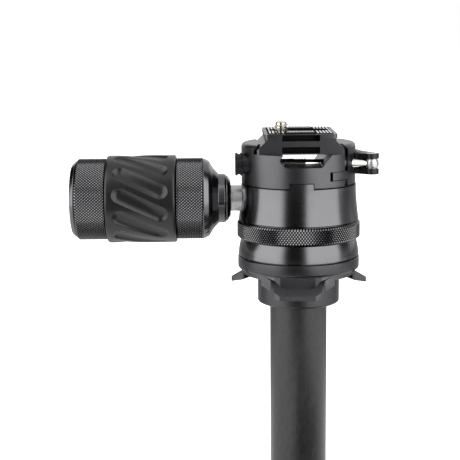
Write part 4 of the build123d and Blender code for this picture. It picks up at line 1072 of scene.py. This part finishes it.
@dataclass
class CameraPlate(SubAssembly):
    """The dovetail plate with its rubber pad and camera screw."""

    pad_top: float = 78.3
    ribs_x: float = 7.0
    lattice_x: float = 6.2
    lattice_y: float = 15.8
    lattice_pitch: float = 1.4
    lattice_rise: float = 0.2
    lattice_clear: float = 2.6
    diamond_foot: float = 0.66
    diamond_tip: float = 0.48
    diamond_sink: float = 0.02
    diamond_stretch: float = 3.6
    row_step: float = 2.45
    recess_half: float = 8.25
    recess_near: float = 13.9
    recess_far: float = 18.9
    recess_drop: float = 1.5
    slot_r: float = 5.9
    slot_x: float = 7.8
    screw_x: float = -7.8
    thread_low: float = 77.5
    thread_top: float = 82.0
    thread_r: float = 3.175
    thread_core: float = 2.45
    thread_pitch: float = 1.27
    thread_root: float = 0.2
    thread_steps: int = 36
    ridge_gap: float = 0.05
    # The thread's ridge takes this share of its pitch, and its flat crest lies between these
    # shares of the ridge.
    ridge_share: float = 0.86
    crest_shares: tuple[float, float] = (0.42, 0.58)
    tip_high: float = 0.35
    tip_inset: float = 0.3

    def lattice(self) -> Object:
        """Models the raised diamonds on the middle of the pad, clear of the slot.

        They are shorter and fewer than the real ones.
        """
        bm = bmesh.new()
        columns = int(self.lattice_x / self.lattice_pitch * 2)
        rows = int(self.lattice_y / self.row_step)
        turn = Matrix.Rotation(math.radians(45), 4, "Z")
        stretch = Matrix.Diagonal((1.0, self.diamond_stretch, 1.0, 1.0))
        middle = self.pad_top + self.lattice_rise / 2 - self.diamond_sink
        for row in range(-rows, rows + 1):
            y = row * self.row_step
            for column in range(-columns, columns + 1):
                x = (column + (row % 2) / 2) * self.lattice_pitch
                near = math.hypot(max(abs(x) - self.slot_x, 0), y) - self.slot_r
                if abs(x) > self.lattice_x or near < self.lattice_clear:
                    continue
                bmesh.ops.create_cone(
                    bm, cap_ends=True, segments=4, radius1=self.diamond_foot * MM,
                    radius2=self.diamond_tip * MM,
                    depth=(self.lattice_rise + 2 * self.diamond_sink) * MM,
                    matrix=Matrix.Translation(Vector((x, y, middle)) * MM) @ stretch @ turn,
                )
        return finished_object("pad_diamonds", bm, 20)

    def rub(self, piece: Object, top: float, inner: float) -> None:
        """Gives the raised tops of the pad their rubbed finish.

        Args:
            piece: The pad or its diamonds.
            top: Height of the tops in millimetres.
            inner: Half width of the middle, which keeps the dull finish, or less than nought.
        """
        coat(
            piece, Finish.RUBBED_RUBBER,
            lambda spot, normal: abs(spot.z - top) < 3 * NEAR and abs(spot.x) > inner,
        )

    def in_recess(self, spot: Vector, normal: Vector) -> bool:
        """Says whether a face of the plate is a wall of its strap recesses, which get painted
        shade.

        Args:
            spot: Middle of the face in millimetres.
            normal: Its normal.

        Returns:
            Whether it is one.
        """
        across = abs(spot.x) < self.recess_half + 2 * NEAR
        along = self.recess_near < abs(spot.y) < self.recess_far
        return across and along and abs(normal.z) < 0.5 and spot.z < self.pad_top - self.recess_drop

    def screw(self) -> Object:
        """Models the camera screw: its slotted head, its shank and a real thread."""
        bm = self.copies.merged("camera_screw")
        everything = bm.verts[:] + bm.edges[:] + bm.faces[:]
        bmesh.ops.bisect_plane(
            bm, geom=everything, plane_co=(0, 0, (self.thread_low + 2 * NEAR) * MM),
            plane_no=(0, 0, 1), clear_outer=True,
        )
        self.close(bm)
        self.add_thread(bm)
        return finished_object("camera_screw_threaded", bm, 32)

    def close(self, bm: BMesh) -> None:
        """Fills the open ends of a mesh.

        Args:
            bm: The mesh.
        """
        open_edges = [edge for edge in bm.edges if edge.is_boundary]
        bmesh.ops.holes_fill(bm, edges=open_edges, sides=0)

    def add_thread(self, bm: BMesh) -> None:
        """Adds the thread's core and its helical ridge to the screw.

        Args:
            bm: The screw's mesh, which gets them.
        """
        place = Vector((self.screw_x, 0, 0)) * MM
        top = self.thread_top
        core = spun_mesh([
            (0.0, self.thread_low), (self.thread_core, self.thread_low),
            (self.thread_core, top - self.tip_high), (self.thread_core - self.tip_inset, top),
            (0.0, top),
        ], Turning.COLUMN, steps=48, closed=False)
        bmesh.ops.translate(core, verts=core.verts, vec=place)
        mesh = bpy.data.meshes.new("thread_core")
        core.to_mesh(mesh)
        core.free()
        bm.from_mesh(mesh)
        bpy.data.meshes.remove(mesh)
        inner = self.thread_core - self.thread_root
        low = self.thread_low + self.ridge_gap
        height = self.thread_pitch * self.ridge_share
        crest = [(self.thread_r, low + height * share) for share in self.crest_shares]
        points = [(inner, low), *crest, (inner, low + height)]
        verts = [bm.verts.new(Vector((x, 0, z)) * MM + place) for x, z in points]
        edges = [bm.edges.new(pair) for pair in zip(verts, verts[1:] + verts[:1])]
        climb = top - low - height - 2 * self.ridge_gap
        turns = climb / self.thread_pitch
        steps = round(turns * self.thread_steps)
        bmesh.ops.spin(
            bm, geom=verts + edges, cent=place, axis=(0, 0, 1),
            dvec=Vector((0, 0, climb / steps)) * MM, angle=math.tau * turns, steps=steps,
            use_merge=False, use_duplicate=False,
        )
        self.close(bm)
        bmesh.ops.recalc_face_normals(bm, faces=bm.faces)

    def build(self) -> None:
        """Builds and dresses the plate."""
        make = self.copies.make
        plate = make("quick_plate", "plate", Finish.BLASTED_ANODISED, 0.5)
        # The walls of the strap recesses get painted shade.
        coat(plate, Finish.RECESS_BLACK, self.in_recess)
        self.rub(make("rubber_pad", "plate", Finish.PAD_RUBBER, 0.06), self.pad_top, self.ribs_x)
        diamonds = dress(self.lattice(), Finish.PAD_RUBBER, "plate")
        self.rub(diamonds, self.pad_top + self.lattice_rise, -1)
        make("stop_pins", "plate", Finish.POLISHED_STEEL, 0.1)
        make("screw_washer", "screw_carrier", Finish.TURNED_STEEL, 0.1)
        dress(self.screw(), Finish.NICKEL_STEEL, "camera_bolt", "camera_screw")


class InnerParts:
    """Finishes of the pieces that keep their solids' shapes, because they are hidden."""

    finishes = {
        Finish.BLACK_STEEL: ("base_bolt", "ball_screws", "clamp_nut", "body_screws"),
        Finish.TURNED_STEEL: ("draw_bolt", "guide_pin", "jaw_spring"),
        Finish.SATIN_ANODISED: ("clamp_cup", "ball_clamp"),
        Finish.MACHINED_ALUMINIUM: ("column_insert",),
        Finish.SLIP_PLASTIC: ("friction_liner",),
        Finish.BRONZE: ("tail_bushing",),
    }

    def build(self, frame: dict) -> None:
        """Gives each hidden node its finish.

        Args:
            frame: The loaded frame.
        """
        for finish, nodes in self.finishes.items():
            for node in nodes:
                data = frame["nodes"][node].data
                data.materials.clear()
                data.materials.append(finish.material())
                LOG.info("%s keeps its solid", node)


@dataclass
class Studio:
    """White sweep, soft boxes and dark cards round the head, and the camera.

    The cards are seen only in reflections. They give the satin metal the dark bands that
    black flags give it in a studio. Lengths here are in metres, but the lens, its sensor and
    the camera's place are in millimetres.
    """

    floor_z: float = -0.096
    floor_half: float = 12.0
    floor_mirrored: float = 0.36
    room_light: float = 0.45
    box_distance: float = 0.8
    box_height: float = 1.0
    box_watts: float = 18.0
    card_distance: float = 0.6
    card_lift: float = 0.0005
    lens: float = 90.0
    sensor: float = 36.0
    pitch: float = 9.85
    roll: float = -0.55
    camera: Corner = (-31.1, -515.3, 122.4)

    def seen_by(self, tree: NodeTree, mirrored: float = 1.0) -> NodeSocket:
        """Adds the brightness that the camera and clear reflections see, and not the lit parts.

        Args:
            tree: Node tree that gets it.
            mirrored: Share of the brightness that reflections see.

        Returns:
            Socket of the brightness.
        """
        path = add_node(tree, "ShaderNodeLightPath").outputs
        glossy = maths(tree, "MULTIPLY", path["Is Glossy Ray"], mirrored)
        first = maths(tree, "ADD", path["Is Camera Ray"], glossy)
        return maths(tree, "ADD", first, path["Is Transmission Ray"], clamp=True)

    def floor(self) -> None:
        """Makes the pale floor."""
        bm = bmesh.new()
        bmesh.ops.create_grid(bm, x_segments=1, y_segments=1, size=self.floor_half)
        bmesh.ops.translate(bm, verts=bm.verts, vec=(0, 0, self.floor_z))
        floor = finished_object("studio_floor", bm)
        material, shader = new_material("white_sweep")
        tree = material.node_tree
        shader.inputs["Base Color"].default_value = linear("#f2f2f2")
        shader.inputs["Roughness"].default_value = 0.9
        shader.inputs["Emission Color"].default_value = (1, 1, 1, 1)
        glow = self.seen_by(tree, self.floor_mirrored)
        tree.links.new(glow, shader.inputs["Emission Strength"])
        floor.data.materials.append(material)

    def world(self) -> None:
        """Makes the white surroundings."""
        world = bpy.data.worlds.new("white_room")
        bpy.context.scene.world = world
        world.use_nodes = True
        tree = world.node_tree
        tree.nodes.clear()
        strength = add_node(
            tree, "ShaderNodeMapRange", {"Value": self.seen_by(tree)},
            {"To Min": self.room_light, "To Max": 1.0},
        )
        back = add_node(
            tree, "ShaderNodeBackground", {"Strength": strength.outputs["Result"]},
            {"Color": (1, 1, 1, 1)},
        )
        add_node(tree, "ShaderNodeOutputWorld", {"Surface": back.outputs["Background"]})

    def round_about(self, azimuth: float, distance: float, height: float) -> Vector:
        """Gives a place round the head.

        Args:
            azimuth: Degrees round from the front, towards +X.
            distance: Distance from the column.
            height: Height over the frame's middle.

        Returns:
            The place.
        """
        turn = math.radians(azimuth)
        return Vector((distance * math.sin(turn), -distance * math.cos(turn), height))

    def soft_box(self, name: str, azimuth: float, size: tuple[float, float]) -> None:
        """Hangs one soft box that faces the head.

        Args:
            name: Name of the lamp.
            azimuth: Degrees round from the front, towards +X.
            size: Width and height.
        """
        lamp = bpy.data.lights.new(name, "AREA")
        lamp.shape = "RECTANGLE"
        lamp.size, lamp.size_y = size
        lamp.energy = self.box_watts
        light = bpy.data.objects.new(name, lamp)
        light.location = self.round_about(azimuth, self.box_distance, self.box_height)
        aim = Vector((0, 0, self.box_height)) - light.location
        light.rotation_euler = aim.to_track_quat("-Z", "Y").to_euler()
        bpy.context.scene.collection.objects.link(light)

    def card(
        self, name: str, place: Vector, size: tuple[float, float], soft: float,
        density: float = 1.0,
    ) -> None:
        """Sets up one card of black felt that only reflections see.

        It faces the column, or lies flat if it is on the floor, and thins out at its edges.

        Args:
            name: Name of the card.
            place: Place of its middle.
            size: Width and height.
            soft: Share of its half width over which it fades out.
            density: How much of the light behind it stops.
        """
        aim = Vector((-place.x, -place.y, 0))
        turn = aim.to_track_quat("Z", "Y") if place.z > 0 else None
        matrix = Matrix.LocRotScale(place, turn, Vector((*size, 1)))
        bm = bmesh.new()
        bm.loops.layers.uv.new("card_map")
        bmesh.ops.create_grid(bm, x_segments=1, y_segments=1, size=0.5, calc_uvs=True)
        bmesh.ops.transform(bm, matrix=matrix, verts=bm.verts)
        card = finished_object(name, bm)
        material, shader = new_material(f"{name}_black_felt")
        tree = material.node_tree
        shader.inputs["Base Color"].default_value = linear("#030303")
        shader.inputs["Roughness"].default_value = 1.0
        shader.inputs["Specular IOR Level"].default_value = 0.0
        place = add_node(tree, "ShaderNodeUVMap", uv_map="card_map")
        split = add_node(tree, "ShaderNodeSeparateXYZ", {"Vector": place.outputs["UV"]})
        fades = []
        for side in ("X", "Y"):
            away = maths(tree, "ABSOLUTE", maths(tree, "SUBTRACT", split.outputs[side], 0.5))
            fade = add_node(
                tree, "ShaderNodeMapRange", {"Value": away},
                {"From Min": 0.5 - soft / 2, "From Max": 0.5, "To Min": 1.0, "To Max": 0.0},
                interpolation_type="SMOOTHSTEP",
            )
            fades.append(fade.outputs["Result"])
        cover = maths(tree, "MULTIPLY", maths(tree, "MULTIPLY", *fades), density)
        tree.links.new(cover, shader.inputs["Alpha"])
        card.data.materials.append(material)
        for ray in ("camera", "diffuse", "shadow", "transmission"):
            setattr(card, f"visible_{ray}", False)

    def view(self) -> None:
        """Sets the camera at the photograph's viewing angle."""
        data = bpy.data.cameras.new("photo_camera")
        data.lens = self.lens
        data.sensor_width = self.sensor
        data.clip_start = 0.01
        data.clip_end = 50.0
        camera = bpy.data.objects.new("photo_camera", data)
        camera.location = Vector(self.camera) * MM
        tilt = Matrix.Rotation(math.radians(90 - self.pitch), 4, "X")
        roll = Matrix.Rotation(math.radians(self.roll), 4, "Z")
        camera.rotation_euler = (tilt @ roll).to_euler()
        bpy.context.scene.collection.objects.link(camera)
        bpy.context.scene.camera = camera

    def build(self) -> None:
        """Builds the studio."""
        self.view()
        self.world()
        self.floor()
        self.soft_box("left_box", azimuth=-61, size=(1.05, 2.2))
        self.soft_box("right_box", azimuth=46, size=(1.1, 2.2))
        # A dark band down the middle of the round parts, and one along each edge.
        for name, azimuth, size, height, soft in (
            ("front_card", -11, (0.64, 1.8), 0.5, 0.55),
            ("left_back_card", -122, (0.64, 1.6), 0.7, 0.35),
            ("right_back_card", 99, (0.34, 1.6), 0.7, 0.35),
        ):
            self.card(name, self.round_about(azimuth, self.card_distance, height), size, soft)
        # The same for surfaces that look down on the floor.
        floor = self.floor_z + self.card_lift
        self.card("front_floor_card", Vector((-0.08, -0.55, floor)), (0.7, 0.7), soft=0.5)
        self.card("near_floor_card", Vector((0.06, -0.13, floor)), (0.24, 0.3), soft=0.6)
        back = Vector((0.0, 1.55, floor))
        self.card("back_floor_card", back, (5.0, 3.0), soft=0.12, density=0.6)
        bpy.context.scene.view_settings.view_transform = "Standard"


def main() -> None:
    """Builds every sub-assembly in order."""
    logging.basicConfig(level=logging.INFO, format="%(message)s")
    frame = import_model()
    Studio().build()
    copies = RoundedCopy(frame)
    for part in (Column, Housing, GripHandle, Clamp, CameraPlate):
        part(copies).build()
    InnerParts().build(frame)


if __name__ == "__main__":
    main()
